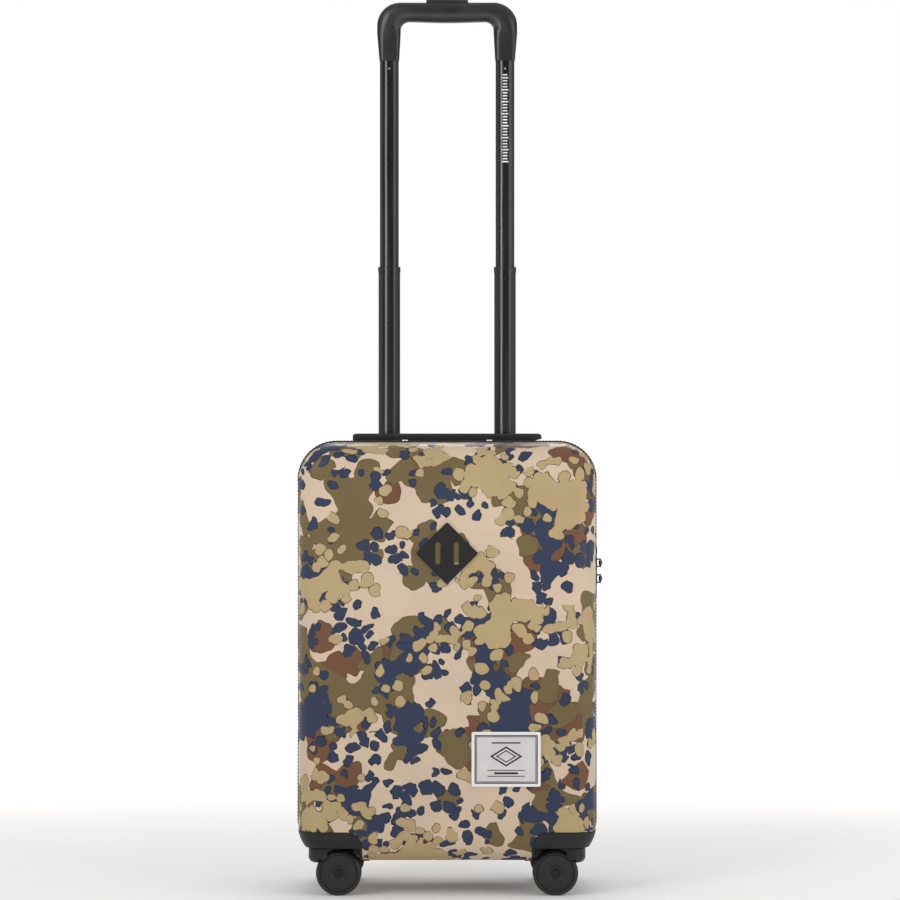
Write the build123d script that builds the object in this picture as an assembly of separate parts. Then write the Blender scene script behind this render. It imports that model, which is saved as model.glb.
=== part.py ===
from build123d import *
from math import radians, tan
import os

# A cabin-size hard-shell spinner suitcase, in millimetres.  X runs across the case,
# Y from its front face (-Y) to its back (+Y), Z up.  The origin is on the floor under
# the middle of the case.  The zip plane is y = 0.  The trolley handle is modelled fully
# extended and the casters trail towards the middle of the case.

# Shell
BODY_WIDTH = 358.6
BODY_BOTTOM = 39.3
BODY_TOP = 539.4
BODY_HEIGHT = BODY_TOP - BODY_BOTTOM
BODY_MIDDLE = (BODY_TOP + BODY_BOTTOM) / 2
BODY_SIDE = BODY_WIDTH / 2
BODY_DEPTH = 225.0
FACE = BODY_DEPTH / 2
CORNER_R = 45.0
FACE_R = 28.0
SHELL_T = 2.2
RIM = 6.0
DRAFT = 1.6
FAR = 800.0

# Zip, all offsets measured outwards from the shell's side
WELT_PROUD = 1.8
WELT_DEPTH = (4.6, 10.5)
TAPE_IN, TAPE_OUT = -0.7, 0.9
COIL_HALF = 1.5
COIL_DEPTH = (0.5, 2.1)
HINGE_TOP, HINGE_BOTTOM = 480.0, 100.0
ZIP_Z = 383.5
SLIDER_LENGTH, SLIDER_HALF_WIDTH = 15.0, 4.3
SLIDER_GAP, SLIDER_CORNER = 4.0, 2.6
PLATE_T = 1.1
CROWN_BAR_R = 1.1
CROWN_OUT = 6.9
PULL_LENGTH, PULL_WIDTH, PULL_T = 19.0, 7.5, 1.8

# Trolley
TUBE_X = 71.5
TUBE_Y = 86.0
OUTER_TUBE = (29.6, 22.2, 1.3)
MID_TUBE = (26.6, 19.2, 1.4)
INNER_TUBE = (23.2, 15.8, 1.3)
TUBE_CORNER = 5.5
OUTER_BOTTOM, OUTER_TOP = 58.0, 464.0
MID_BOTTOM, MID_TOP = 404.0, 754.5
INNER_BOTTOM, INNER_TOP = 690.0, 1011.0
COLLAR_BOTTOM, COLLAR_TOP, COLLAR_WALL = 749.5, 756.2, 0.5
LATCH_Z, LATCH_REACH = 742.0, 7.2
GROOVE_X, GROOVE_W, GROOVE_D = 7.9, 0.7, 0.5
GRIP_HALF, GRIP_TOP, GRIP_BAR = 86.6, 1083.5, 25.0
GRIP_DEPTH = 21.5
GRIP_LEG_TOP, GRIP_LEG_FOOT = 29.2, 24.4
BUTTON_LENGTH, BUTTON_WIDTH, BUTTON_PROUD = 52.0, 12.0, 3.0
ROD_TOP = GRIP_TOP - 15.0
ROD_R, ROD_BORE_R, ROD_BORE_LENGTH = 2.0, 2.6, 90.0
BEZEL_HALF = 94.0
WELL_IN, WELL_OUT = 53.0, 90.0
WELL_FLOOR = 468.0
TROUGH_FLOOR = 522.0

# Carry handle
CARRY_LENGTH, CARRY_WIDTH, CARRY_T = 231.0, 26.0, 9.8
CARRY_BOTTOM = 540.4
CARRY_Y = 34.0
CARRY_LEG_X = 79.5
CARRY_SLOT = (48.0, 55.0)
CARRY_TIP = (103.0, 3.4)
CARRY_TRAVEL = 18.0

# Casters
SWIVEL_X, SWIVEL_Y = 147.5, 83.5
WHEEL_X, WHEEL_Z, WHEEL_R = 129.0, 27.0, 27.0
WHEEL_INNER, WHEEL_WIDTH = 4.0, 10.0
HOOD_R, HOOD_BOTTOM, HOOD_TOP = 17.5, 39.0, 56.8
ROOF, FLOOR_TOP = 57.6, 60.8
ZONE_X, ZONE_Y, ZONE_TOP, ZONE_R = 100.6, 36.6, 77.0, 19.0
HOUSING_GAP, HOUSING_WALL, HOUSING_PROUD = 0.6, 2.4, 0.8
HOUSING_TIP = 43.0
FLANGE_REACH, FLANGE_T = 9.0, 2.2
KINGPIN_R, AXLE_R, RUNNING = 4.0, 2.5, 0.05
RIVET_R = 2.0

# Front-face trim
TAB_SIDE, TAB_Z, TAB_T, TAB_SEAT = 52.5, 407.6, 2.0, 0.8
TAB_SLOT_X, TAB_SLOT_W, TAB_SLOT_H = 11.0, 6.3, 26.8
LABEL_X, LABEL_Z, LABEL_W, LABEL_H = 70.0, 163.6, 82.0, 65.0
LABEL_T, LABEL_SEAT, LABEL_RIM = 1.6, 0.6, 3.5

# Lock on the right side of the rear half
LOCK_Z, LOCK_H = ZIP_Z, 66.0
LOCK_FRONT, LOCK_STEP, LOCK_BACK = 12.0, 23.0, 45.0
LOCK_IN, LOCK_LOW, LOCK_HIGH = BODY_SIDE - 12.0, BODY_SIDE + 1.6, BODY_SIDE + 3.4
DIAL_R, DIAL_T, DIAL_PITCH = 6.0, 4.2, 9.0
DIAL_Y = 36.0
SHAFT_R = 1.5
KEY_Z, KEY_R = LOCK_Z - 24.0, 4.0

# Lining and its fittings
LINING_OFFSET, LINING_T = 5.2, 1.0
PANEL_Y, PANEL_T = 9.0, 1.6
STRAP_Y, STRAP_T, STRAP_W = 8.4, 1.4, 25.0


def span_box(x_range, y_range, z_range):
    """A box given by the low and high value on each axis."""
    sizes = [high - low for low, high in (x_range, y_range, z_range)]
    middle = [(high + low) / 2 for low, high in (x_range, y_range, z_range)]
    return Pos(*middle) * Box(*sizes)


def facing_slab(profile, y_front, y_back):
    """A sketch drawn in X and Z, given depth from y_front to y_back."""
    return Pos(0, y_back, 0) * Rot(90, 0, 0) * extrude(profile, y_back - y_front)


def touching(block, point, count=3):
    """The edges of block that meet at the corner nearest to point."""
    corner = block.vertices().sort_by_distance(point)[0]
    return block.edges().sort_by(lambda edge: edge.distance_to(corner))[:count]


def to_back(part):
    """The mirror image of a front part, for the rear half."""
    return mirror(part, about=Plane.XZ)


def to_left(part):
    """The mirror image of a right-hand part, for the left side."""
    return mirror(part, about=Plane.YZ)


def both_sides(part):
    """A right-hand part and its mirror image, as two separate solids."""
    return [part, to_left(part)]


# ---------------------------------------------------------------- case


def half_block(grow, rim=RIM):
    """The front half's outer form, moved outwards by grow, solid from rim to face."""
    outline = RectangleRounded(BODY_WIDTH + 2 * grow, BODY_HEIGHT + 2 * grow, CORNER_R + grow)
    block = extrude(outline, FACE + grow - rim, taper=DRAFT)
    front_edges = block.faces().sort_by(Axis.Z)[-1].edges()
    block = fillet(front_edges, FACE_R + grow)
    return Pos(0, -rim, BODY_MIDDLE) * Rot(90, 0, 0) * block


def rear_skin(grow):
    """The rear half's outer form, moved outwards by grow."""
    return to_back(half_block(grow))


def caster_zone(shrink):
    """The round-cornered space that a front right wheel housing takes up."""
    low_x, high_y, high_z = ZONE_X + shrink, -ZONE_Y - shrink, ZONE_TOP - shrink
    zone = span_box((low_x, FAR), (-FAR, high_y), (0, high_z))
    return fillet(touching(zone, (low_x, high_y, high_z)), ZONE_R - shrink)


def caster_zones(shrink):
    """The housing spaces of the front half, right and left."""
    return caster_zone(shrink) + to_left(caster_zone(shrink))


def rivet_places():
    """Plan positions of the two rivets of the front right housing."""
    return [(ZONE_X - 4.5, -54.0), (ZONE_X - 4.5, -78.0)]


def bottom_z(y):
    """Height of the shell's underside at depth y, which rises from the rim by the draft."""
    return BODY_BOTTOM + (abs(y) - RIM) * tan(radians(DRAFT))


def rivet_holes(radius):
    """Vertical cutters through the case bottom for one front housing's rivets."""
    cutter = Cylinder(radius, 14.0)
    return [Pos(x, y, bottom_z(y) + 2) * cutter for x, y in rivet_places()]


def plain_half():
    """A front half shell with its two bottom corners cut away for the wheel housings."""
    shell = half_block(0) - half_block(-SHELL_T, RIM - 1)
    shell -= caster_zones(0)
    for hole in rivet_holes(RIVET_R + 0.1):
        shell -= hole
        shell -= to_left(hole)
    return shell


def diamond(side, thickness, y_front, corner):
    """A square plate standing on its corner at the lash tab's place."""
    outline = Pos(0, TAB_Z) * Rot(0, 0, 45) * RectangleRounded(side, side, corner)
    return facing_slab(outline, y_front, y_front + thickness)


def label_slab(margin, corner, y_front, y_back):
    """A rectangular plate at the label's place, grown by margin all round."""
    outline = RectangleRounded(LABEL_W + 2 * margin, LABEL_H + 2 * margin, corner)
    return facing_slab(Pos(LABEL_X, LABEL_Z) * outline, y_front, y_back)


def front_shell():
    shell = plain_half()
    shell -= diamond(TAB_SIDE + 7.0, TAB_SEAT + 1.0, -FACE - 1.0, 4.0)
    shell -= label_slab(4.0, 4.0, -FACE - 1.0, -FACE + LABEL_SEAT)
    return shell


def bezel_prism(margin, low, high):
    """The upright block that the trolley bezel's body fills, from low to high."""
    x = BEZEL_HALF + margin
    return span_box((-x, x), (TUBE_Y - 15.5 - margin, TUBE_Y + 15.5 + margin), (low, high))


def lock_opening(margin):
    """The hole through the right side for the lock housing."""
    half = LOCK_H / 2 - 3.0 + margin
    y_range = (LOCK_FRONT + 3.0 - margin, LOCK_BACK - 3.0 + margin)
    return span_box((LOCK_IN, FAR), y_range, (LOCK_Z - half, LOCK_Z + half))


def carry_socket(margin):
    """The upright part of the right-hand carry-handle mount, below its flange."""
    half_x, half_y = 20.0 + margin, 7.5 + margin
    x_range = (CARRY_LEG_X - half_x, CARRY_LEG_X + half_x)
    return span_box(x_range, (CARRY_Y - half_y, CARRY_Y + half_y), (500.0, BODY_TOP + 0.8))


def rear_shell():
    shell = to_back(plain_half())
    shell -= bezel_prism(0.4, 500.0, 600.0)
    shell -= lock_opening(0.3)
    for socket in both_sides(carry_socket(0.3)):
        shell -= socket
    return shell


def ring(depths, low, high):
    """A band round the front half's rim between two depths and two side offsets."""
    y_back, y_front = -depths[0], -depths[1]

    def outline(grow):
        return Pos(0, BODY_MIDDLE) * RectangleRounded(
            BODY_WIDTH + 2 * grow, BODY_HEIGHT + 2 * grow, CORNER_R + grow
        )

    return facing_slab(outline(high) - outline(low), y_front, y_back)


def hinge_stretch(margin):
    """The straight stretch of the left rim where fabric takes the zip's place."""
    z_range = (HINGE_BOTTOM - margin, HINGE_TOP + margin)
    return span_box((-BODY_SIDE - 5, -BODY_SIDE + 5), (-4.0, 4.0), z_range)


def zip_tape():
    """Front zip tape: a welt over the shell's edge and the flat tape beside it."""
    return ring(WELT_DEPTH, 0.05, WELT_PROUD) + ring((2.2, RIM - 0.05), TAPE_IN, TAPE_OUT)


def zip_coil():
    return ring(COIL_DEPTH, -COIL_HALF, COIL_HALF) - hinge_stretch(1.0)


def hinge_gusset():
    """The fabric strip on the left that holds the two halves together."""
    x_range = (-BODY_SIDE - 0.9, -BODY_SIDE + 0.9)
    return span_box(x_range, (-COIL_DEPTH[1], COIL_DEPTH[1]), (HINGE_BOTTOM, HINGE_TOP))


# ---------------------------------------------------------------- zip sliders


def slider_middle(sign):
    """Height of a slider's middle: sign 1 is the upper slider, -1 the lower."""
    return ZIP_Z + sign * (SLIDER_GAP + SLIDER_LENGTH) / 2


def zip_slider(sign):
    """Two plates over and under the coils, joined by a web, with an arched crown."""
    z = slider_middle(sign)
    half = SLIDER_LENGTH / 2
    plate_low = COIL_HALF + 0.2
    plate = span_box((0, PLATE_T), (-SLIDER_HALF_WIDTH, SLIDER_HALF_WIDTH), (-half, half))
    plate = fillet(plate.edges().filter_by(Axis.X), SLIDER_CORNER)
    web = span_box((-plate_low - 0.1, plate_low + 0.1), (-0.35, 0.35), (-half + 3, half - 2))
    crown = span_box((plate_low + 0.2, CROWN_OUT), (-CROWN_BAR_R, CROWN_BAR_R), (-5.5, 5.5))
    crown -= span_box((plate_low + PLATE_T + 0.4, CROWN_OUT + 1), (-3, 3), (-3.5, 3.5))
    bar = Pos(CROWN_OUT, 0, 0) * Cylinder(CROWN_BAR_R, 11.0)
    plates = Pos(plate_low, 0, 0) * plate + Pos(-plate_low - PLATE_T, 0, 0) * plate
    return Pos(BODY_SIDE, 0, z) * (plates + web + crown + bar)


def zip_pull(sign):
    """The pull: an eye round the crown's bar and a flat tongue with a hole."""
    z = slider_middle(sign)
    eye = Cylinder(2.4, 5.6)
    tongue_outline = Pos(PULL_LENGTH / 2, 0) * SlotOverall(PULL_LENGTH, PULL_WIDTH)
    tongue_outline -= Pos(PULL_LENGTH - PULL_WIDTH / 2, 0) * Circle(1.9)
    tongue = extrude(tongue_outline, PULL_T / 2, both=True)
    tongue = Rot(0, 0, 90) * Rot(90, 0, 0) * tongue
    tongue -= span_box((-9, 9), (-9, 1.6), (-9, 9))
    pull = eye + tongue - Cylinder(CROWN_BAR_R + RUNNING, 20.0)
    return Pos(BODY_SIDE + CROWN_OUT, 0, z) * pull


# ---------------------------------------------------------------- lock


def dial_places():
    return [LOCK_Z + step * DIAL_PITCH for step in (-1, 0, 1)]


def dial_axis_x():
    return LOCK_HIGH + 1.0 - DIAL_R


def lock_housing():
    """Low front strip under the pulls, raised rear part round the dials."""
    half = LOCK_H / 2
    z_range = (LOCK_Z - half, LOCK_Z + half)
    flange = span_box((BODY_SIDE - 3.0, LOCK_LOW), (LOCK_FRONT, LOCK_BACK), z_range)
    raised = span_box((BODY_SIDE - 3.0, LOCK_HIGH), (LOCK_STEP, LOCK_BACK), z_range)
    housing = flange + raised - rear_skin(0.05)
    side_edges = housing.edges().filter_by(Axis.X).sort_by(Axis.Y)
    housing = fillet([e for e in side_edges if e.center().Y > LOCK_BACK - 1], 4.0)
    body = lock_opening(0) & span_box((LOCK_IN, LOCK_LOW), (0, FAR), (0, FAR))
    housing += body
    for z in dial_places():
        housing -= Pos(dial_axis_x(), DIAL_Y, z) * Cylinder(DIAL_R + 0.3, DIAL_T + 0.4)
    housing += Pos(dial_axis_x(), DIAL_Y, LOCK_Z) * Cylinder(SHAFT_R, 2 * DIAL_PITCH + 6)
    housing -= lock_button_block(0.2, 4.2)
    housing -= Pos(LOCK_HIGH, DIAL_Y, KEY_Z) * Rot(0, 90, 0) * Cylinder(KEY_R + RUNNING, 14.0)
    for z in (slider_middle(1), slider_middle(-1)):
        housing -= span_box((LOCK_LOW - 4, LOCK_LOW + 1), (15.0, 18.5), (z - 2.2, z + 2.2))
    return housing


def lock_dial(index):
    """One combination ring with finger notches, turning on the fixed shaft."""
    dial = Cylinder(DIAL_R, DIAL_T) - Cylinder(SHAFT_R + RUNNING, 20.0)
    notch = Pos(DIAL_R + 0.35, 0, 0) * Cylinder(0.8, 20.0)
    for step in range(10):
        dial -= Rot(0, 0, 36 * step + 18) * notch
    return Pos(dial_axis_x(), DIAL_Y, dial_places()[index]) * dial


def lock_button_block(margin, travel):
    """The release button's block, with room below it for its travel."""
    x_range = (LOCK_HIGH - 4 - margin, LOCK_HIGH + 1.0 + margin)
    z_range = (LOCK_Z + 19.0 - margin - travel, LOCK_Z + 28.0 + margin)
    return span_box(x_range, (DIAL_Y - 5.5 - margin, DIAL_Y + 5.5 + margin), z_range)


def lock_button():
    block = lock_button_block(0, 0)
    outer = block.faces().sort_by(Axis.X)[-1]
    block = fillet(outer.edges(), 0.6)
    rib = Rot(90, 0, 0) * Cylinder(0.5, 20)
    for step in (-1, 0, 1):
        block -= Pos(LOCK_HIGH + 1.2, DIAL_Y, LOCK_Z + 23.5 + 2 * step) * rib
    return block


def lock_key_cylinder():
    plug = Pos(LOCK_HIGH - 3.3, DIAL_Y, KEY_Z) * Rot(0, 90, 0) * Cylinder(KEY_R, 7.0)
    slot_z = (KEY_Z - 2.6, KEY_Z + 2.6)
    return plug - span_box((LOCK_HIGH - 3, FAR), (DIAL_Y - 0.5, DIAL_Y + 0.5), slot_z)


# ---------------------------------------------------------------- casters


def wheel_housing():
    """Front right corner cap with the recess that the caster turns in."""
    floor_block = caster_zone(HOUSING_GAP) & span_box((0, FAR), (-FAR, 0), (0, FLOOR_TOP))
    outside = half_block(HOUSING_PROUD) & caster_zone(HOUSING_GAP)
    outside -= span_box((0, FAR), (-FAR, 0), (0, HOUSING_TIP))
    flange = half_block(-SHELL_T - 0.1) & caster_zone(-FLANGE_REACH)
    hollow = half_block(-SHELL_T - FLANGE_T, RIM - 1) - floor_block
    recess = caster_zone(HOUSING_GAP + HOUSING_WALL) & span_box((0, FAR), (-FAR, 0), (0, ROOF))
    housing = outside + flange - hollow - recess
    boss_height = 74.0 - ROOF
    housing += Pos(SWIVEL_X, -SWIVEL_Y, ROOF + boss_height / 2) * Cylinder(9.0, boss_height)
    housing -= Pos(SWIVEL_X, -SWIVEL_Y, 66.0) * Cylinder(KINGPIN_R + RUNNING, 40.0)
    for hole in rivet_holes(RIVET_R + 0.1):
        housing -= hole
    return housing


def housing_rivets():
    """Two solid rivets through the case bottom and the front right housing's flange."""
    rivets = []
    for x, y in rivet_places():
        bottom = bottom_z(y) - 0.15
        top = bottom_z(y) + SHELL_T + FLANGE_T + 0.15
        shank = Pos(x, y, (bottom + top) / 2) * Cylinder(RIVET_R, top - bottom + 0.4)
        low_head = Pos(x, y, bottom - 0.65) * Cylinder(4.0, 1.2)
        low_head = fillet(low_head.edges().sort_by(Axis.Z)[0], 0.8)
        high_head = Pos(x, y, top + 0.65) * Cylinder(3.5, 1.2)
        rivets.append(low_head + shank + high_head)
    return rivets


def wheel_gap():
    """The space that one caster's twin wheels turn in, on both sides of the web."""
    width = WHEEL_WIDTH + 3.0
    rim = Cylinder(WHEEL_R + 1.3, width)
    middle = WHEEL_INNER - 0.4 + width / 2
    spaces = [Pos(WHEEL_X, side * middle, WHEEL_Z) * Rot(90, 0, 0) * rim for side in (-1, 1)]
    return spaces[0] + spaces[1]


def caster_fork():
    """Round hood over the swivel pin, with a web down to the axle between the wheels."""
    height = HOOD_TOP - HOOD_BOTTOM
    hood = Pos(SWIVEL_X, 0, HOOD_BOTTOM + height / 2) * Cylinder(HOOD_R, height)
    hood = fillet(hood.edges().sort_by(Axis.Z)[0], 7.0)
    hood = fillet(hood.edges().sort_by(Axis.Z)[-1], 1.2)
    web_profile = Pos(WHEEL_X, WHEEL_Z) * Circle(9.0)
    web_profile += make_face(
        Polyline(
            (WHEEL_X - 9.0, WHEEL_Z), (WHEEL_X - 3.0, HOOD_TOP - 1.5), (SWIVEL_X + 8.0, HOOD_TOP - 1.5),
            (SWIVEL_X + 10.0, HOOD_BOTTOM + 3.0), (WHEEL_X + 7.0, WHEEL_Z - 5.5), close=True,
        )
    )
    web = facing_slab(web_profile, -3.4, 3.4)
    fork = hood - wheel_gap() + web
    fork -= Pos(SWIVEL_X, 0, HOOD_TOP - 5.0) * Cylinder(KINGPIN_R, 10.0)
    fork -= Pos(WHEEL_X, 0, WHEEL_Z) * Rot(90, 0, 0) * Cylinder(AXLE_R, 40.0)
    return Pos(0, -SWIVEL_Y, 0) * fork


def kingpin():
    """Steel swivel pin pressed into the hood, with its retaining cap on the boss."""
    low, high = HOOD_TOP - 10.0, 74.2
    pin = Pos(SWIVEL_X, -SWIVEL_Y, (low + high) / 2) * Cylinder(KINGPIN_R, high - low)
    return pin + Pos(SWIVEL_X, -SWIVEL_Y, high + 1.0) * Cylinder(7.0, 2.0)


def axle():
    """Axle pin through the fork's web and both wheels, with a thin head at each end."""
    half = WHEEL_INNER + WHEEL_WIDTH
    pin = Cylinder(AXLE_R, 2 * half)
    for side in (-1, 1):
        pin += Pos(0, 0, side * (half - 0.25)) * Cylinder(4.2, 1.5)
    return Pos(WHEEL_X, -SWIVEL_Y, WHEEL_Z) * Rot(90, 0, 0) * pin


def wheel_profile():
    """Half section of a wheel: radius across, thickness up, from its inner face."""
    bore = AXLE_R + RUNNING
    width = WHEEL_WIDTH
    section = make_face(
        Polyline(
            (bore, 0.3), (8.0, 0.3), (10.0, 1.6), (19.0, 1.6), (21.0, 0.4), (24.0, 0.4), (WHEEL_R, 2.6),
            (WHEEL_R, width - 2.6), (24.0, width - 0.2), (22.6, width - 0.2), (22.3, width - 1.0),
            (21.6, width - 1.0), (21.3, width - 0.2), (9.0, width - 0.5), (8.0, width - 1.2),
            (5.0, width - 1.2), (5.0, width - 2.4), (bore, width - 2.4), close=True,
        )
    )
    tread_corners = [v for v in section.vertices() if v.X > WHEEL_R - 0.01]
    return fillet(tread_corners, 1.8)


def caster_wheel(side):
    """One wheel of the front right caster; side -1 is towards the front."""
    wheel = revolve(Rot(90, 0, 0) * wheel_profile(), Axis.Z)
    turn = 90 if side < 0 else -90
    return Pos(WHEEL_X, -SWIVEL_Y + side * WHEEL_INNER, WHEEL_Z) * Rot(turn, 0, 0) * wheel


# ---------------------------------------------------------------- trolley


def tube_outline(size, grooved=False):
    """A tube's outer section, with two fine grooves along its front when grooved."""
    outline = RectangleRounded(size[0], size[1], TUBE_CORNER)
    if grooved:
        for side in (-1, 1):
            outline -= Pos(side * GROOVE_X, -size[1] / 2) * Rectangle(GROOVE_W, 2 * GROOVE_D)
    return outline


def tube(size, low, high, grooved=False):
    """A drawn tube at the right-hand tube place, from low to high."""
    wall = size[2]
    hole = RectangleRounded(size[0] - 2 * wall, size[1] - 2 * wall, TUBE_CORNER - wall)
    return Pos(TUBE_X, TUBE_Y, low) * extrude(tube_outline(size, grooved) - hole, high - low)


def latch_hole(radius):
    """A hole through the front wall at the height of the upper latch."""
    return Pos(TUBE_X, TUBE_Y - 10, LATCH_Z) * Rot(90, 0, 0) * Cylinder(radius, 16.0)


def outer_tubes():
    return both_sides(tube(OUTER_TUBE, OUTER_BOTTOM, OUTER_TOP))


def mid_tubes():
    return both_sides(tube(MID_TUBE, MID_BOTTOM, MID_TOP, grooved=True) - latch_hole(2.6))


def latch_slot():
    """A slot that lets the latch pin drop with the push button."""
    x_range = (TUBE_X - 2.3, TUBE_X + 2.3)
    return span_box(x_range, (TUBE_Y - 12, TUBE_Y - 4), (LATCH_Z - 5.5, LATCH_Z + 2.3))


def inner_tubes():
    return both_sides(tube(INNER_TUBE, INNER_BOTTOM, INNER_TOP, grooved=True) - latch_slot())


def collars():
    """Sleeves over the tops of the mid tubes, with a lip that wipes the inner tubes."""
    wide, deep = MID_TUBE[0] + 2 * COLLAR_WALL, MID_TUBE[1] + 2 * COLLAR_WALL
    outline = RectangleRounded(wide, deep, TUBE_CORNER + COLLAR_WALL)
    collar = Pos(TUBE_X, TUBE_Y, COLLAR_BOTTOM) * extrude(outline, COLLAR_TOP - COLLAR_BOTTOM)
    collar = fillet(collar.edges().group_by(Axis.Z)[-1], 1.0)
    tube_room = RectangleRounded(MID_TUBE[0] + 0.1, MID_TUBE[1] + 0.1, TUBE_CORNER)
    collar -= Pos(TUBE_X, TUBE_Y, COLLAR_BOTTOM) * extrude(tube_room, MID_TOP + 0.05 - COLLAR_BOTTOM)
    lip_room = RectangleRounded(INNER_TUBE[0] + 0.3, INNER_TUBE[1] + 0.3, TUBE_CORNER)
    collar -= Pos(TUBE_X, TUBE_Y, COLLAR_BOTTOM) * extrude(lip_room, 20.0)
    return both_sides(collar)


def trolley_base():
    """Bracket on the case bottom with a socket for each outer tube."""
    half_x = TUBE_X + 20.0
    low = BODY_BOTTOM + SHELL_T + 0.1
    bar = span_box((-half_x, half_x), (TUBE_Y - 14, TUBE_Y + 14), (low, 74.0))
    upright = bar.edges().filter_by(Axis.Z)
    bar = fillet(upright, 5.0)
    bar -= span_box((-TUBE_X + 20, TUBE_X - 20), (TUBE_Y - 20, TUBE_Y + 20), (54.0, 80.0))
    socket = RectangleRounded(OUTER_TUBE[0] + 0.1, OUTER_TUBE[1] + 0.1, TUBE_CORNER)
    for side in (-1, 1):
        bar -= Pos(side * TUBE_X, TUBE_Y, OUTER_BOTTOM) * extrude(socket, 40.0)
    return bar & rear_skin(-SHELL_T - 0.1)


def trolley_bezel():
    """Flange over the shell and a deep body with wells that the grip sinks into."""
    outline = Pos(0, TUBE_Y) * RectangleRounded(2 * BEZEL_HALF + 12.0, 43.0, 9.0)
    flange = Pos(0, 0, 500.0) * extrude(outline, 60.0)
    flange = flange & (rear_skin(1.6) - rear_skin(0.05))
    body = bezel_prism(0, 450.0, 560.0) & rear_skin(1.6)
    bezel = flange + body
    half_y = 12.5
    y_range = (TUBE_Y - half_y, TUBE_Y + half_y)
    bezel -= span_box((-WELL_OUT, WELL_OUT), y_range, (TROUGH_FLOOR, 600.0))
    middle_x = WELL_IN - 3.0
    bezel -= span_box((-middle_x, middle_x), (TUBE_Y - 20, TUBE_Y + 20), (440.0, TROUGH_FLOOR - 3.0))
    socket = RectangleRounded(OUTER_TUBE[0] + 0.1, OUTER_TUBE[1] + 0.1, TUBE_CORNER)
    for side in (-1, 1):
        well_x = sorted((side * WELL_IN, side * WELL_OUT))
        bezel -= span_box(well_x, y_range, (WELL_FLOOR, 600.0))
        bezel -= Pos(side * TUBE_X, TUBE_Y, 440.0) * extrude(socket, 60.0)
    return bezel


def grip_side_x(z):
    """Outer and inner x of the grip's leg at height z, where it still tapers."""
    foot, top = INNER_TOP + 0.1, GRIP_TOP - 30.0
    t = min(1.0, (z - foot) / (top - foot))
    width = GRIP_LEG_FOOT + (GRIP_LEG_TOP - GRIP_LEG_FOOT) * t
    outer = TUBE_X + GRIP_LEG_FOOT / 2 + (GRIP_HALF - TUBE_X - GRIP_LEG_FOOT / 2) * t
    return outer, outer - width


def grip_outline():
    """The grip seen from the front: an upturned U with tapering legs."""
    foot, shoulder = INNER_TOP + 0.1, GRIP_TOP - 30.0
    outer_foot, inner_foot = grip_side_x(foot)
    outer_top, inner_top = grip_side_x(shoulder)
    under = GRIP_TOP - GRIP_BAR
    outside = make_face(
        Polyline(
            (outer_foot, foot), (outer_top, shoulder), (outer_top, GRIP_TOP), (-outer_top, GRIP_TOP),
            (-outer_top, shoulder), (-outer_foot, foot), close=True,
        )
    )
    outside = fillet(outside.vertices().group_by(Axis.Y)[-1], 29.0)
    inside = make_face(
        Polyline(
            (inner_foot, foot - 5), (inner_foot, foot), (inner_top, shoulder - 12), (inner_top, under),
            (0, under - 1.2), (-inner_top, under), (-inner_top, shoulder - 12), (-inner_foot, foot),
            (-inner_foot, foot - 5), close=True,
        )
    )
    corners = [v for v in inside.vertices() if abs(abs(v.X) - inner_top) < 0.01 and v.Y > shoulder]
    inside = fillet(corners, 11.0)
    return outside - inside


def button_room(margin, height):
    """The push button's upright block in the middle of the grip's bar."""
    half_y = BUTTON_WIDTH / 2 + margin
    outline = Pos(0, TUBE_Y) * RectangleRounded(BUTTON_LENGTH + 2 * margin, 2 * half_y, 3.0)
    return Pos(0, 0, GRIP_TOP - 9.0 - margin) * extrude(outline, height)


def trolley_grip():
    """Hollow grip with spigots that go down into the inner tubes."""
    grip = facing_slab(grip_outline(), TUBE_Y - GRIP_DEPTH / 2, TUBE_Y + GRIP_DEPTH / 2)
    for face in (grip.faces().sort_by(Axis.Y)[0], grip.faces().sort_by(Axis.Y)[-1]):
        rim = face.edges().filter_by(lambda e: e.center().Z > INNER_TOP + 1)
        grip = fillet(rim, 4.5)
    spigot = RectangleRounded(INNER_TUBE[0] - 2.8, INNER_TUBE[1] - 2.8, 4.4)
    bore = Cylinder(ROD_BORE_R, ROD_BORE_LENGTH)
    for side in (-1, 1):
        grip += Pos(side * TUBE_X, TUBE_Y, INNER_TOP - 24.0) * extrude(spigot, 26.0)
        grip -= Pos(side * TUBE_X, TUBE_Y, ROD_TOP - ROD_BORE_LENGTH / 2) * bore
    half_x = TUBE_X + 3.5
    grip -= span_box((-half_x, half_x), (TUBE_Y - 2.6, TUBE_Y + 2.6), (ROD_TOP - 6.5, ROD_TOP + 2.0))
    return grip - button_room(0.25, 20.0) - button_room(-2.0, 20.0).moved(Location((0, 0, -8.0)))


def trolley_button():
    button = button_room(0, 9.0 + BUTTON_PROUD)
    button = Pos(0, 0, 3.3) * button & span_box((-FAR, FAR), (0, FAR), (0, GRIP_TOP + BUTTON_PROUD))
    top = button.edges().group_by(Axis.Z)[-1]
    return fillet(top, 1.5)


def release_rods():
    """A bridge under the button with a rod down each leg to a latch pin."""
    half_x = TUBE_X + 2.0
    bridge = span_box((-half_x, half_x), (TUBE_Y - 2, TUBE_Y + 2), (ROD_TOP - 2.8, ROD_TOP + 1.8))
    post = span_box((-4, 4), (TUBE_Y - 2, TUBE_Y + 2), (ROD_TOP, GRIP_TOP - 6.1))
    rods = bridge + post
    for side in (-1, 1):
        length = ROD_TOP - LATCH_Z
        rods += Pos(side * TUBE_X, TUBE_Y, LATCH_Z + length / 2) * Cylinder(ROD_R, length)
        pin = Cylinder(ROD_R, LATCH_REACH)
        rods += Pos(side * TUBE_X, TUBE_Y - LATCH_REACH / 2, LATCH_Z) * Rot(90, 0, 0) * pin
        rods += Pos(side * TUBE_X, TUBE_Y, LATCH_Z) * Sphere(ROD_R)
    return rods


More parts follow.
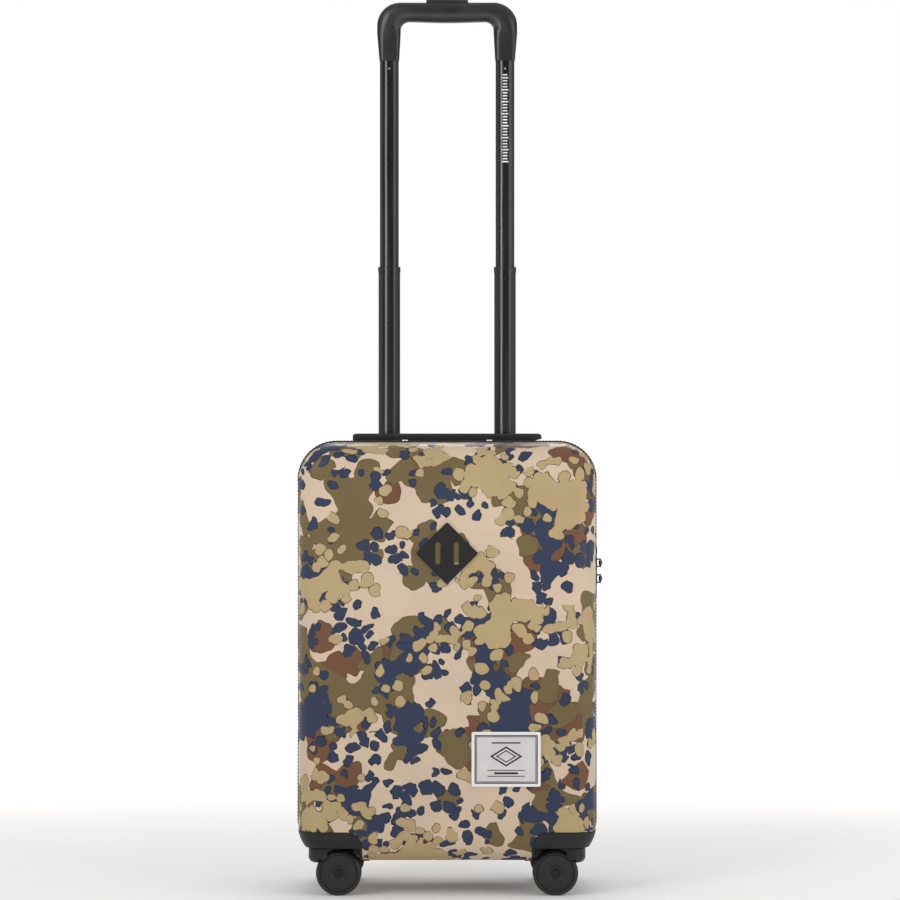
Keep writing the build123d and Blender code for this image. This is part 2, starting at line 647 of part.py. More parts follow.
# ---------------------------------------------------------------- carry handle


def tip_wedge(side):
    """What is cut from under one tip of the carry handle, so that it thins outwards."""
    start, rise = CARRY_TIP
    end = CARRY_LENGTH / 2 + 1.0
    corners = [(start, -1.0), (end, -1.0), (end, rise), (start, 0.0)]
    outline = Polygon(*[(side * x, CARRY_BOTTOM + z) for x, z in corners], align=None)
    return facing_slab(outline, 0.0, 80.0)


def carry_handle():
    """Flat grip bar with round, thinned tips, a finger slot inside each leg, and legs in the mounts."""
    bar = extrude(Pos(0, CARRY_Y) * SlotOverall(CARRY_LENGTH, CARRY_WIDTH), CARRY_T)
    bar = Pos(0, 0, CARRY_BOTTOM) * bar
    bar = fillet(bar.edges().group_by(Axis.Z)[-1], 4.0)
    bar = fillet(bar.edges().group_by(Axis.Z)[0], 2.0)
    for side in (-1, 1):
        slot_x = sorted(side * x for x in CARRY_SLOT)
        bar -= span_box(slot_x, (0, 80), (CARRY_BOTTOM - 1, CARRY_BOTTOM + 2.0))
        bar -= tip_wedge(side)
        x = side * CARRY_LEG_X
        bar += span_box((x - 15, x + 15), (CARRY_Y - 4, CARRY_Y + 4), (506.0, CARRY_BOTTOM + 2))
        bar += span_box((x - 17, x + 17), (CARRY_Y - 4, CARRY_Y + 4), (504.5, 508.5))
    return bar


def carry_mounts():
    """Flanged sockets in the shell's top that guide the carry handle's legs."""
    half_x, half_y = 24.0, 11.0
    outline = Pos(CARRY_LEG_X, CARRY_Y) * RectangleRounded(2 * half_x, 2 * half_y, 5.0)
    flange = Pos(0, 0, BODY_TOP - 3.0) * extrude(outline, 3.8)
    mount = flange - rear_skin(0.05) + carry_socket(0)
    x_in = (CARRY_LEG_X - 17.4, CARRY_LEG_X + 17.4)
    y_in = (CARRY_Y - 4.4, CARRY_Y + 4.4)
    mount -= span_box(x_in, y_in, (503.0, 508.5 + CARRY_TRAVEL + 0.5))
    x_slot = (CARRY_LEG_X - 15.2, CARRY_LEG_X + 15.2)
    mount -= span_box(x_slot, (CARRY_Y - 4.2, CARRY_Y + 4.2), (503.0, 560.0))
    return both_sides(mount)


# ---------------------------------------------------------------- trim


def lash_tab():
    """Diamond tab with two upright slots, sitting in its shallow seat."""
    y_front = -FACE + TAB_SEAT - TAB_T
    tab = diamond(TAB_SIDE, TAB_T, y_front, 2.5)
    tab = fillet(tab.faces().sort_by(Axis.Y)[0].edges(), 0.7)
    for side in (-1, 1):
        slot = Pos(side * TAB_SLOT_X, TAB_Z) * RectangleRounded(TAB_SLOT_W, TAB_SLOT_H, 2.4)
        tab -= facing_slab(slot, y_front - 1, y_front + TAB_T + 1)
    return tab


def label_plate():
    """Rectangular plate with a raised rim."""
    y_front = -FACE + LABEL_SEAT - LABEL_T
    plate = label_slab(0, 2.5, y_front, y_front + LABEL_T)
    plate = fillet(plate.faces().sort_by(Axis.Y)[0].edges(), 0.5)
    return plate - label_slab(-LABEL_RIM, 1.2, y_front - 1, y_front + 0.4)


# ---------------------------------------------------------------- inside


def lining_space(inset):
    """Room inside the front half, inset from the shell, less the wheel housings."""
    return half_block(-LINING_OFFSET - inset, RIM + 0.5 - inset) - caster_zones(-FLANGE_REACH - 1.5 - inset)


def rear_fittings(inset):
    """Boxes that the rear lining goes round: trolley, carry mounts and lock."""
    trolley = span_box((-96 - inset, 96 + inset), (68.0 - inset, FAR), (0, FAR))
    mounts = span_box((-104 - inset, 104 + inset), (22.0 - inset, FAR), (498.0 - inset, FAR))
    lock_z = (LOCK_Z - 37 - inset, LOCK_Z + 37 + inset)
    lock = span_box((LOCK_IN - 1.5 - inset, FAR), (9.0 - inset, 50.0 + inset), lock_z)
    return trolley + mounts + lock


def front_lining():
    return lining_space(0) - lining_space(LINING_T)


def rear_lining():
    outer = to_back(lining_space(0)) - rear_fittings(0)
    inner = to_back(lining_space(LINING_T)) - rear_fittings(LINING_T)
    return outer - inner


def divider_panel():
    """Flat panel that closes off the front half's packing space."""
    margin = LINING_OFFSET + LINING_T + 2.0
    outline = Pos(0, BODY_MIDDLE) * RectangleRounded(
        BODY_WIDTH - 2 * margin, BODY_HEIGHT - 2 * margin, CORNER_R - margin
    )
    return facing_slab(outline, -PANEL_Y - PANEL_T, -PANEL_Y)


def packing_straps():
    """Two webbing straps across the rear half."""
    half = BODY_SIDE - LINING_OFFSET - LINING_T - 1.0
    return [
        span_box((-half, half), (STRAP_Y, STRAP_Y + STRAP_T), (z - STRAP_W / 2, z + STRAP_W / 2))
        for z in (205.0, 330.0)
    ]


# ---------------------------------------------------------------- assembly


def caster_nodes():
    """Each corner's housing, fork, pins and wheels, named by its place."""
    corner = {
        "wheel_housing": wheel_housing(),
        "caster_fork": caster_fork(),
        "kingpin": kingpin(),
        "axle": axle(),
        "wheel_outer": caster_wheel(-1),
        "wheel_inner": caster_wheel(1),
    }
    nodes = {}
    for kind, part in corner.items():
        nodes[f"{kind}_front_right"] = part
        nodes[f"{kind}_front_left"] = to_left(part)
        nodes[f"{kind}_rear_right"] = to_back(part)
        nodes[f"{kind}_rear_left"] = to_back(to_left(part))
    return nodes


def case_nodes():
    front_rivets = housing_rivets() + [to_left(rivet) for rivet in housing_rivets()]
    return {
        "front_shell": front_shell(),
        "rear_shell": rear_shell(),
        "front_zip_tape": zip_tape(),
        "rear_zip_tape": to_back(zip_tape()),
        "front_zip_coil": zip_coil(),
        "rear_zip_coil": to_back(zip_coil()),
        "hinge_gusset": hinge_gusset(),
        "zip_slider_upper": zip_slider(1),
        "zip_slider_lower": zip_slider(-1),
        "zip_pull_upper": zip_pull(1),
        "zip_pull_lower": zip_pull(-1),
        "lock_housing": lock_housing(),
        "lock_dial_1": lock_dial(0),
        "lock_dial_2": lock_dial(1),
        "lock_dial_3": lock_dial(2),
        "lock_button": lock_button(),
        "lock_key_cylinder": lock_key_cylinder(),
        "lash_tab": lash_tab(),
        "label_plate": label_plate(),
        "front_lining": front_lining(),
        "rear_lining": rear_lining(),
        "divider_panel": divider_panel(),
        "packing_straps": packing_straps(),
        "housing_rivets_front": front_rivets,
        "housing_rivets_rear": [to_back(rivet) for rivet in front_rivets],
    }


def handle_nodes():
    return {
        "carry_handle": carry_handle(),
        "carry_handle_mounts": carry_mounts(),
        "trolley_bezel": trolley_bezel(),
        "trolley_outer_tubes": outer_tubes(),
        "trolley_mid_tubes": mid_tubes(),
        "trolley_collars": collars(),
        "trolley_inner_tubes": inner_tubes(),
        "trolley_grip": trolley_grip(),
        "trolley_button": trolley_button(),
        "trolley_release_rods": release_rods(),
        "trolley_base": trolley_base(),
    }


def write_parts():
    os.makedirs("parts", exist_ok=True)
    nodes = {**case_nodes(), **handle_nodes(), **caster_nodes()}
    for name, part in nodes.items():
        pieces = part if isinstance(part, list) else [part]
        solids = [solid for piece in pieces for solid in piece.solids()]
        export_step(Compound(children=solids), f"parts/{name}.step")


write_parts()
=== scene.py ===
import math
from itertools import product

import bmesh
import bpy
import numpy as np
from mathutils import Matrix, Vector, noise
from mathutils.bvhtree import BVHTree


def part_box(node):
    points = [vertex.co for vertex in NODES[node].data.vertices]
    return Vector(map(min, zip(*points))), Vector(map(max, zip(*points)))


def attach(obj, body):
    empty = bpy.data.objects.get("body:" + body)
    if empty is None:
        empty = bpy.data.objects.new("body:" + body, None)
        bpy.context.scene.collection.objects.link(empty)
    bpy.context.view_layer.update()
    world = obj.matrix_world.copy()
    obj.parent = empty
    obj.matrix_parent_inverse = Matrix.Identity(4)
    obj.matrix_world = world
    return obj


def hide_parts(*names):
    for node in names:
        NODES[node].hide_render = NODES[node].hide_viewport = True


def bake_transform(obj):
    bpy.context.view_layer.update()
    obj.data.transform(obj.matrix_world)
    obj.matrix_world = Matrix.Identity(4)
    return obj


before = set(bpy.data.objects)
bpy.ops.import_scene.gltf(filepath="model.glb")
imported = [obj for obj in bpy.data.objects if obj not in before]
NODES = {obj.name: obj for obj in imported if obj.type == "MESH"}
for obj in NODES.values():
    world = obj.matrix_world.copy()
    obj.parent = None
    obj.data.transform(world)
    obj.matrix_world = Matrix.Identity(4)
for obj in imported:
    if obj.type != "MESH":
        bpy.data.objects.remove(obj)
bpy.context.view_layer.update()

MM = 0.001


# ---------------------------------------------------------------- shaders


def srgb(code):
    """Linear RGBA of a colour written as six hexadecimal digits."""
    parts = [int(code[i : i + 2], 16) / 255 for i in (0, 2, 4)]
    return (*[c / 12.92 if c <= 0.04045 else ((c + 0.055) / 1.055) ** 2.4 for c in parts], 1.0)


def shaded(code, factor, lift=0.0):
    """The colour made darker or paler by a factor and a small lift."""
    return tuple(min(1.0, c * factor + lift) for c in srgb(code)[:3]) + (1.0,)


class Shader:
    """A Principled material and short calls for its node graph. Lengths are in metres."""

    def __init__(self, name, **settings):
        self.material = bpy.data.materials.new(name)
        self.material.use_nodes = True
        tree = self.material.node_tree
        tree.nodes.clear()
        self.nodes, self.links = tree.nodes, tree.links
        self.principled = self.node("ShaderNodeBsdfPrincipled")
        output = self.node("ShaderNodeOutputMaterial")
        self.links.new(self.principled.outputs[0], output.inputs["Surface"])
        self.place = self.node("ShaderNodeTexCoord").outputs["Object"]
        for key, value in settings.items():
            self.set(key.replace("_", " "), value)

    def node(self, kind, inputs=None, **settings):
        made = self.nodes.new(kind)
        for key, value in settings.items():
            setattr(made, key, value)
        for key, value in (inputs or {}).items():
            self.feed(made.inputs[key], value)
        return made

    def feed(self, socket, value):
        if isinstance(value, bpy.types.NodeSocket):
            self.links.new(value, socket)
        else:
            socket.default_value = value

    def set(self, name, value):
        self.feed(self.principled.inputs[name], value)

    def math(self, operation, a, b=0.0):
        return self.node("ShaderNodeMath", {0: a, 1: b}, operation=operation).outputs[0]

    def vector(self, operation, a, b=(0.0, 0.0, 0.0)):
        return self.node("ShaderNodeVectorMath", {0: a, 1: b}, operation=operation).outputs[0]

    def axes(self, place=None):
        return self.node("ShaderNodeSeparateXYZ", {0: place or self.place}).outputs

    def joined(self, x, y, z):
        return self.node("ShaderNodeCombineXYZ", {0: x, 1: y, 2: z}).outputs[0]

    def mix(self, factor, a, b):
        made = self.node("ShaderNodeMix", {0: factor, 6: a, 7: b}, data_type="RGBA")
        return made.outputs[2]

    def remap(self, value, low, high, to_low=0.0, to_high=1.0):
        inputs = {0: value, 1: low, 2: high, 3: to_low, 4: to_high}
        return self.node("ShaderNodeMapRange", inputs, interpolation_type="SMOOTHSTEP").outputs[0]

    def noise(self, size, detail=2.0, place=None, stretch=None):
        place = place or self.place
        if stretch:
            place = self.vector("MULTIPLY", place, stretch)
        return self.node("ShaderNodeTexNoise", {"Vector": place, "Scale": 1 / size, "Detail": detail})

    def bump(self, height, depth, normal=None):
        inputs = {"Height": height, "Distance": depth, "Strength": 1.0}
        if normal:
            inputs["Normal"] = normal
        return self.node("ShaderNodeBump", inputs).outputs[0]

    def warped(self, place, size, amount, shift=0.0):
        """The flat place moved about by a slow noise, so that drawn shapes turn irregular."""
        moved = self.vector("ADD", place, (shift, shift * 0.6, -shift * 0.8))
        wander = self.noise(size, 2.0, moved).outputs["Color"]
        offset = self.vector("SUBTRACT", wander, (0.5, 0.5, 0.5))
        return self.vector("ADD", place, self.vector("MULTIPLY", offset, (amount, amount, 0.0)))

    def edge_normal(self, radius):
        return self.node("ShaderNodeBevel", {"Radius": radius}, samples=4).outputs[0]

    def edge_wear(self, rounded):
        """1 on outer and inner edges, 0 on the flat, from the rounded normal."""
        plain = self.node("ShaderNodeNewGeometry").outputs["Normal"]
        turned = self.node("ShaderNodeVectorMath", {0: rounded, 1: plain}, operation="DOT_PRODUCT")
        return self.remap(turned.outputs["Value"], 0.995, 0.93)


# The shell's print, in metres. The field's centres are (across, up, reach, gain) from the case's middle.
BEIGE, INK, SEPIA = srgb("cfb9a1"), srgb("10151f"), srgb("3f3120")
PRINTS = (
    (srgb("6e4a31"), SEPIA, {
        "cell": 0.034, "size": 0.085, "centres": ((0.09, -0.06, 0.08, 0.16), (-0.16, 0.03, 0.07, 0.16)),
        "level": 0.6, "radius": 0.45, "vary": 0.16, "fill": 0.03, "warp": 0.9, "shift": 3.0,
    }),
    (srgb("6d5d3a"), SEPIA, {
        "cell": 0.033, "size": 0.08, "centres": ((-0.12, -0.05, 0.1, 0.14), (0.09, 0.15, 0.08, 0.12)),
        "level": 0.54, "radius": 0.45, "vary": 0.16, "fill": 0.04, "warp": 0.9, "shift": 4.0,
    }),
    (srgb("29344f"), INK, {
        "cell": 0.017, "size": 0.055, "centres": ((0.12, 0.13, 0.08, 0.08), (-0.05, 0.21, 0.08, 0.08)),
        "level": 0.45, "radius": 0.27, "vary": 0.26, "fill": 0.14, "warp": 1.2, "shift": 7.4,
    }),
    (srgb("b29c72"), SEPIA, {
        "cell": 0.018, "size": 0.065, "centres": ((-0.01, 0.02, 0.07, 0.2), (0.15, -0.01, 0.06, 0.12)),
        "level": 0.585, "radius": 0.3, "vary": 0.18, "fill": 0.085, "warp": 0.85, "shift": 9.0, "layers": 2,
    }),
)
TURN_X, TURN_Z = (0.135, 0.172), (0.205, 0.243)  # where the broad faces turn into the walls
REAR_SHIFT = 5.0  # keeps the rear half's print different from the front's


def wall(s, place, start, end):
    """-1 or 1 on the wall at that end of an axis, 0 on the broad face, and smooth between them."""
    return s.math("MULTIPLY", s.math("SIGN", place), s.remap(s.math("ABSOLUTE", place), start, end))


def unrolled(s):
    """The shell's faces laid out flat: across and up on the broad faces, then on round the edges."""
    x, y, z = s.axes()
    depth = s.math("SUBTRACT", HALF_DEPTH, s.math("ABSOLUTE", y))
    up = s.math("SUBTRACT", z, MIDDLE_Z)
    beside = s.math("MULTIPLY", wall(s, x, *TURN_X), depth)
    above = s.math("MULTIPLY", wall(s, up, *TURN_Z), depth)
    half = s.math("MULTIPLY", s.math("GREATER_THAN", y, 0.0), REAR_SHIFT)
    return s.joined(s.math("ADD", x, beside), s.math("ADD", up, above), half)


def field(s, place, size, centres, shift):
    """A slow noise from 0 to 1, raised softly about a few centres."""
    value = s.noise(size, 1.0, s.vector("ADD", place, (shift, shift, shift))).outputs[0]
    for across, up, reach, gain in centres:
        away = s.node("ShaderNodeVectorMath", {0: place, 1: (across, up, 0.0)}, operation="DISTANCE")
        value = s.math("ADD", value, s.remap(away.outputs["Value"], reach, 0.0, 0.0, gain))
    return value


def smooth_max(s, a, b, soft):
    return s.node("ShaderNodeMath", {0: a, 1: b, 2: soft}, operation="SMOOTH_MAX").outputs[0]


def spots(s, place, step, cell, radius, vary, chosen_field, level):
    """Distance in cells inside round spots; a spot is on where the field at its centre is high."""
    inputs = {"Vector": s.vector("ADD", place, step), "Scale": 1 / cell, "Randomness": 0.9}
    made = s.node("ShaderNodeTexVoronoi", inputs, voronoi_dimensions="2D")
    draw = s.axes(made.outputs["Color"])
    flat = s.axes(s.vector("SUBTRACT", made.outputs["Position"], step))
    home = s.joined(flat[0], flat[1], s.axes(place)[2])
    wander = s.math("MULTIPLY", s.math("SUBTRACT", draw[1], 0.5), 0.16)
    chosen = s.math("GREATER_THAN", s.math("ADD", chosen_field(home), wander), level)
    reach = s.math("ADD", radius, s.math("MULTIPLY", draw[0], vary))
    return s.math("SUBTRACT", s.math("MULTIPLY", reach, chosen), made.outputs["Distance"])


def blobs(s, cell, size, centres, level, radius, vary, fill, warp, shift, layers=1):
    """Distance in metres inside the edge of round spots that join into scalloped clusters.
    A slow field turns whole spots on above level, and fills between them above level + fill."""
    place = s.warped(unrolled(s), cell * 1.2, cell * warp, shift)

    def slow(where):
        return field(s, where, size, centres, shift)

    joined = s.math("MULTIPLY", s.math("SUBTRACT", slow(place), level + fill), 20.0)
    for layer in range(layers):
        step = (shift + 0.37 * layer, 0.23 * layer, 0.0)
        joined = smooth_max(s, spots(s, place, step, cell, radius, vary, slow, level), joined, 0.12)
    return s.math("MULTIPLY", joined, cell)


def printed(s, colour, inside, paint, line, width=0.0007):
    """The colour with one more print on top, with a thin line along its edge."""
    mask = s.remap(inside, 0.0, 0.0003)
    core = s.remap(inside, width, width + 0.0004)
    return s.mix(mask, colour, s.mix(core, line, paint))


def camo_colour(s):
    """Beige ground with brown, olive, navy and khaki prints, one on top of the other."""
    colour = BEIGE
    for paint, line, spread in PRINTS:
        colour = printed(s, colour, blobs(s, **spread), paint, line)
    return colour


def printed_shell():
    """Printed polycarbonate with a satin, slightly cloudy skin."""
    s = Shader("printed_shell", Coat_Weight=0.05, Coat_Roughness=0.3, Specular_IOR_Level=0.3)
    colour = camo_colour(s)
    cloudy = s.noise(0.05, 3.0).outputs[0]
    grain = s.noise(0.0006, 2.0).outputs[0]
    tone = s.math("ADD", s.math("MULTIPLY", cloudy, 0.6), s.math("MULTIPLY", grain, 0.4))
    shade = s.remap(tone, 0.2, 0.8, 0.9, 1.06)
    colour = s.node("ShaderNodeVectorMath", {0: colour, "Scale": shade}, operation="SCALE").outputs[0]
    s.set("Base Color", colour)
    s.set("Roughness", s.remap(cloudy, 0.3, 0.7, 0.36, 0.46))
    s.set("Normal", s.bump(grain, 0.00004))
    return s.material


def moulded(name, code, rough=0.5, grain=0.0007, depth=0.00005, edge=0.0005, worn=0.16, coat=0.0):
    """Moulded plastic: fine spark texture, faint flow marks, and edges rubbed paler and smoother."""
    s = Shader(name, Coat_Weight=coat, Coat_Roughness=0.25, Specular_IOR_Level=0.35)
    rounded = s.edge_normal(edge)
    wear = s.edge_wear(rounded)
    flow = s.noise(0.03, 4.0).outputs[0]
    wear = s.math("MULTIPLY", wear, s.remap(flow, 0.35, 0.65, 0.3, 1.0))
    colour = s.mix(s.remap(flow, 0.35, 0.65), shaded(code, 0.85), shaded(code, 1.2))
    rubbed = shaded(code, 2.2, 0.012)
    s.set("Base Color", s.mix(s.math("MULTIPLY", wear, worn * 3), colour, rubbed))
    rough_map = s.remap(flow, 0.3, 0.7, rough - 0.05, rough + 0.05)
    s.set("Roughness", s.math("SUBTRACT", rough_map, s.math("MULTIPLY", wear, 0.1)))
    s.set("Normal", s.bump(s.noise(grain, 2.0).outputs[0], depth, rounded))
    return s.material


def metal(name, code, rough=0.28, brush=(1, 1, 40)):
    """Plated metal with fine drawn lines and slightly dull patches."""
    s = Shader(name, Metallic=1.0)
    lines = s.noise(0.0016, 3.0, stretch=brush).outputs[0]
    cloud = s.noise(0.008, 3.0).outputs[0]
    s.set("Base Color", s.mix(cloud, shaded(code, 0.75), srgb(code)))
    s.set("Roughness", s.remap(cloud, 0.3, 0.7, rough - 0.06, rough + 0.1))
    s.set("Normal", s.bump(lines, 0.00002, s.edge_normal(0.0002)))
    return s.material


def woven(name, code, thread=0.0007, rough=0.8, depth=0.00012, sheen=0.25):
    """Woven cloth: crossing threads on any face, slubs, and a soft sheen."""
    s = Shader(name, Sheen_Weight=sheen, Sheen_Roughness=0.4, Roughness=rough)
    x, y, z = [s.math("SINE", s.math("MULTIPLY", a, math.pi / thread)) for a in s.axes()]
    weave = s.math("ADD", s.math("MULTIPLY", x, z), s.math("MULTIPLY", s.math("ADD", x, z), y))
    slub = s.noise(0.004, 3.0).outputs[0]
    stain = s.noise(0.05, 2.0).outputs[0]
    uneven = s.math("MULTIPLY", s.math("ADD", slub, stain), 0.25)
    tone = s.math("ADD", s.remap(weave, -1.0, 1.0, 0.0, 0.6), uneven)
    s.set("Base Color", s.mix(tone, shaded(code, 0.72), shaded(code, 1.15)))
    s.set("Normal", s.bump(s.math("ADD", weave, s.math("MULTIPLY", slub, 1.5)), depth))
    return s.material


def drawn_tube():
    """Glossy black front band between two matte side bands, as far as the fine grooves."""
    s = Shader("black_tube")
    x = s.axes()[0]
    across = s.math("SUBTRACT", s.math("ABSOLUTE", x), TUBE_X)
    side = s.math("MULTIPLY", s.math("SIGN", x), across)
    beyond = s.remap(s.math("ABSOLUTE", across), GROOVE_X - 0.0001, GROOVE_X + 0.0001)
    streaks = s.noise(0.004, 3.0, stretch=(1, 1, 0.03)).outputs[0]
    colour = s.mix(beyond, srgb("0a0a0b"), srgb("1a191b"))
    s.set("Base Color", s.mix(s.math("MULTIPLY", streaks, 0.04), colour, srgb("5a5a60")))
    gloss = s.remap(streaks, 0.3, 0.7, 0.12, 0.2)
    s.set("Roughness", s.math("ADD", gloss, s.math("MULTIPLY", beyond, 0.28)))
    crown = s.joined(s.math("MULTIPLY", side, 55.0), 0.0, 0.0)
    geometry = s.node("ShaderNodeNewGeometry").outputs["Normal"]
    front = s.remap(s.axes(geometry)[1], -0.7, -0.95)
    tilt = s.vector("MULTIPLY", crown, s.joined(front, front, front))
    curved = s.vector("NORMALIZE", s.vector("ADD", geometry, tilt))
    s.set("Normal", s.bump(streaks, 0.00001, curved))
    return s.material


def wheel_rubber():
    """Polyurethane wheel: a duller scuffed tread, smooth cheeks, and painted shade darkening its groove
    ring.
    """
    s = Shader("wheel_polyurethane")
    share = s.node("ShaderNodeTexCoord").outputs["Generated"]
    x, _, z = s.axes(s.vector("SUBTRACT", share, (0.5, 0.5, 0.5)))
    radius = s.math("SQRT", s.math("ADD", s.math("POWER", x, 2.0), s.math("POWER", z, 2.0)))
    tread = s.remap(radius, 0.455, 0.49)
    scuff = s.noise(0.002, 4.0).outputs[0]
    dust = s.math("MULTIPLY", tread, s.remap(scuff, 0.35, 0.65, 0.1, 0.8))
    # painted shade: a near-black ring where the groove lies, standing for the shadow inside it
    groove_shade = s.remap(s.math("ABSOLUTE", s.math("SUBTRACT", radius, 0.407)), 0.012, 0.005)
    colour = s.mix(dust, srgb("1a191b"), srgb("3a3734"))
    s.set("Base Color", s.mix(groove_shade, colour, srgb("060606")))
    s.set("Roughness", s.math("ADD", 0.38, s.math("MULTIPLY", tread, 0.25)))
    rounded = s.edge_normal(0.0004)
    s.set("Normal", s.bump(s.math("MULTIPLY", scuff, s.math("ADD", tread, 0.12)), 0.0001, rounded))
    return s.material


def label_metal():
    """White lacquered plate: faint mottling on the panel, an open satin rim."""
    s = Shader("label_metal", Roughness=0.42)
    fine = s.noise(0.0015, 3.0).outputs[0]
    broad = s.noise(0.02, 2.0).outputs[0]
    tone = s.math("ADD", s.math("MULTIPLY", fine, 0.5), s.math("MULTIPLY", broad, 0.5))
    x, _, z = s.axes(s.vector("SUBTRACT", s.place, (label_low + label_high) / 2))
    half = (label_high - label_low) / 2
    across = s.math("SUBTRACT", half.x, s.math("ABSOLUTE", x))
    up = s.math("SUBTRACT", half.z, s.math("ABSOLUTE", z))
    rim = s.remap(s.math("MINIMUM", across, up), 4.2 * MM, 3.6 * MM)
    panel = s.mix(s.remap(tone, 0.3, 0.7), srgb("cac7c7"), srgb("d5d2d0"))
    s.set("Base Color", s.mix(rim, panel, srgb("ebe9e8")))
    s.set("Normal", s.bump(fine, 0.00003, s.edge_normal(0.0004)))
    return s.material


def paint_nodes(material, *names):
    for name in names:
        slots = NODES[name].data.materials
        slots.clear()
        slots.append(material)


def corners(*kinds):
    """The CAD nodes of these kinds at all four corners."""
    return [f"{kind}_{a}_{b}" for kind in kinds for a in ("front", "rear") for b in ("left", "right")]


# ---------------------------------------------------------------- mesh helpers


def new_piece(name, vertices, faces, material, smooth=True, body=None, slot=None):
    mesh = bpy.data.meshes.new(name)
    mesh.from_pydata([tuple(v) for v in vertices], [], faces)
    mesh.validate()
    mesh.materials.append(material)
    mesh.polygons.foreach_set("use_smooth", [smooth] * len(mesh.polygons))
    made = bpy.data.objects.new(name, mesh)
    bpy.context.scene.collection.objects.link(made)
    if body:
        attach(made, body)
    return made


def grid_faces(rows, columns, wrap=False):
    """Quads of a grid of points stored row by row."""
    faces = []
    for row in range(rows - 1):
        for column in range(columns if wrap else columns - 1):
            after = (column + 1) % columns
            a, b = row * columns + column, row * columns + after
            faces.append((a, b, b + columns, a + columns))
    return faces


def closed_tube(rows, columns):
    """Quads round a tube of points stored row by row, with a cap on either end."""
    last = (rows - 1) * columns
    caps = [tuple(range(columns - 1, -1, -1)), tuple(range(last, last + columns))]
    return grid_faces(rows, columns, wrap=True) + caps


def closed_ring(rows, columns):
    """Quads round a tube of points stored row by row, whose last row joins the first."""
    last = (rows - 1) * columns
    join = [(last + k, last + (k + 1) % columns, (k + 1) % columns, k) for k in range(columns)]
    return grid_faces(rows, columns, wrap=True) + join


def merged(parts):
    """One vertex list and face list from several."""
    vertices, faces = [], []
    for some_vertices, some_faces in parts:
        start = len(vertices)
        vertices.extend(some_vertices)
        faces.extend(tuple(i + start for i in face) for face in some_faces)
    return vertices, faces


def wire(points, radius, sides=6, flat=1.0):
    """A round wire through points with rounded-off ends."""
    path = [Vector(p) for p in points]
    side = None
    vertices = []
    for i, point in enumerate(path):
        along = (path[min(i + 1, len(path) - 1)] - path[max(i - 1, 0)]).normalized()
        if side is None:
            side = along.orthogonal().normalized()
        side = (side - along * side.dot(along)).normalized()
        other = along.cross(side)
        end = i in (0, len(path) - 1)
        reach = radius * (0.45 if end else 1.0)
        for k in range(sides):
            angle = 2 * math.pi * k / sides
            vertices.append(point + side * math.cos(angle) * reach + other * math.sin(angle) * reach * flat)
    return vertices, closed_tube(len(path), sides)


def soft_block(low, high, round_off=0.3):
    """A box with its corners cut back, given its low and high corner."""
    low, high = Vector(low), Vector(high)
    middle, half = (low + high) / 2, (high - low) / 2
    cut = min(half) * round_off
    shape = bmesh.new()
    for signs in product((-1, 1), repeat=3):
        for axis in range(3):
            reach = [half[i] - (0 if i == axis else cut) for i in range(3)]
            shape.verts.new(middle + Vector([sign * r for sign, r in zip(signs, reach)]))
    bmesh.ops.convex_hull(shape, input=shape.verts)
    shape.verts.index_update()
    result = [v.co.copy() for v in shape.verts], [tuple(v.index for v in f.verts) for f in shape.faces]
    shape.free()
    return result


def apply_modifiers(piece):
    """Turns the piece's modifiers into plain mesh."""
    graph = bpy.context.evaluated_depsgraph_get()
    mesh = bpy.data.meshes.new_from_object(piece.evaluated_get(graph))
    piece.modifiers.clear()
    piece.data = mesh


def thickened(piece, thickness):
    """Gives a sheet its thickness, half on each side, and turns all its modifiers into mesh."""
    thick = piece.modifiers.new("thickness", "SOLIDIFY")
    thick.thickness = thickness
    thick.offset = 0
    apply_modifiers(piece)


# ---------------------------------------------------------------- places taken from the frame

inner_low, inner_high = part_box("trolley_inner_tubes")
coil_low, coil_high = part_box("front_zip_coil")
gusset_low, gusset_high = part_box("hinge_gusset")
label_low, label_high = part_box("label_plate")
TUBE_X = inner_high.x - 11.6 * MM
TUBE_FRONT = inner_low.y
GROOVE_X = 7.9 * MM
SIDE = coil_high.x - 1.5 * MM
RIM_TOP, RIM_BOTTOM = coil_high.z - 1.5 * MM, coil_low.z + 1.5 * MM
MIDDLE_Z = (RIM_TOP + RIM_BOTTOM) / 2
HALF_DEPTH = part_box("rear_shell")[1].y
CORNER = 45 * MM


def rim_places(distances):
    """(point, outward) pairs round the case's rim, clockwise seen from the front, from mid-left."""
    across, up = SIDE - CORNER, (RIM_TOP - RIM_BOTTOM) / 2 - CORNER
    turn = CORNER * math.pi / 2
    runs = [
        ("line", up, (-SIDE, 0), (0, 1)), ("arc", turn, (-across, up), 180),
        ("line", 2 * across, (-across, up + CORNER), (1, 0)), ("arc", turn, (across, up), 90),
        ("line", 2 * up, (SIDE, up), (0, -1)), ("arc", turn, (across, -up), 0),
        ("line", 2 * across, (across, -up - CORNER), (-1, 0)), ("arc", turn, (-across, -up), -90),
        ("line", up, (-SIDE, -up), (0, 1)),
    ]
    total = sum(run[1] for run in runs)
    places = []
    for distance in distances:
        left = distance % total
        for kind, length, start, way in runs:
            if left <= length:
                break
            left -= length
        if kind == "line":
            x, z = start[0] + way[0] * left, start[1] + way[1] * left
            outward = Vector((-way[1], 0, way[0]))
        else:
            angle = math.radians(way) - left / CORNER
            outward = Vector((math.cos(angle), 0, math.sin(angle)))
            x, z = start[0] + CORNER * outward.x, start[1] + CORNER * outward.z
        places.append((Vector((x, 0, z + MIDDLE_Z)), outward))
    return places


def rim_length():
    """Length of the line that rim_places follows."""
    return 4 * (SIDE - CORNER) + 2 * (RIM_TOP - RIM_BOTTOM - 2 * CORNER) + 2 * math.pi * CORNER


# ---------------------------------------------------------------- zip, tape and hinge

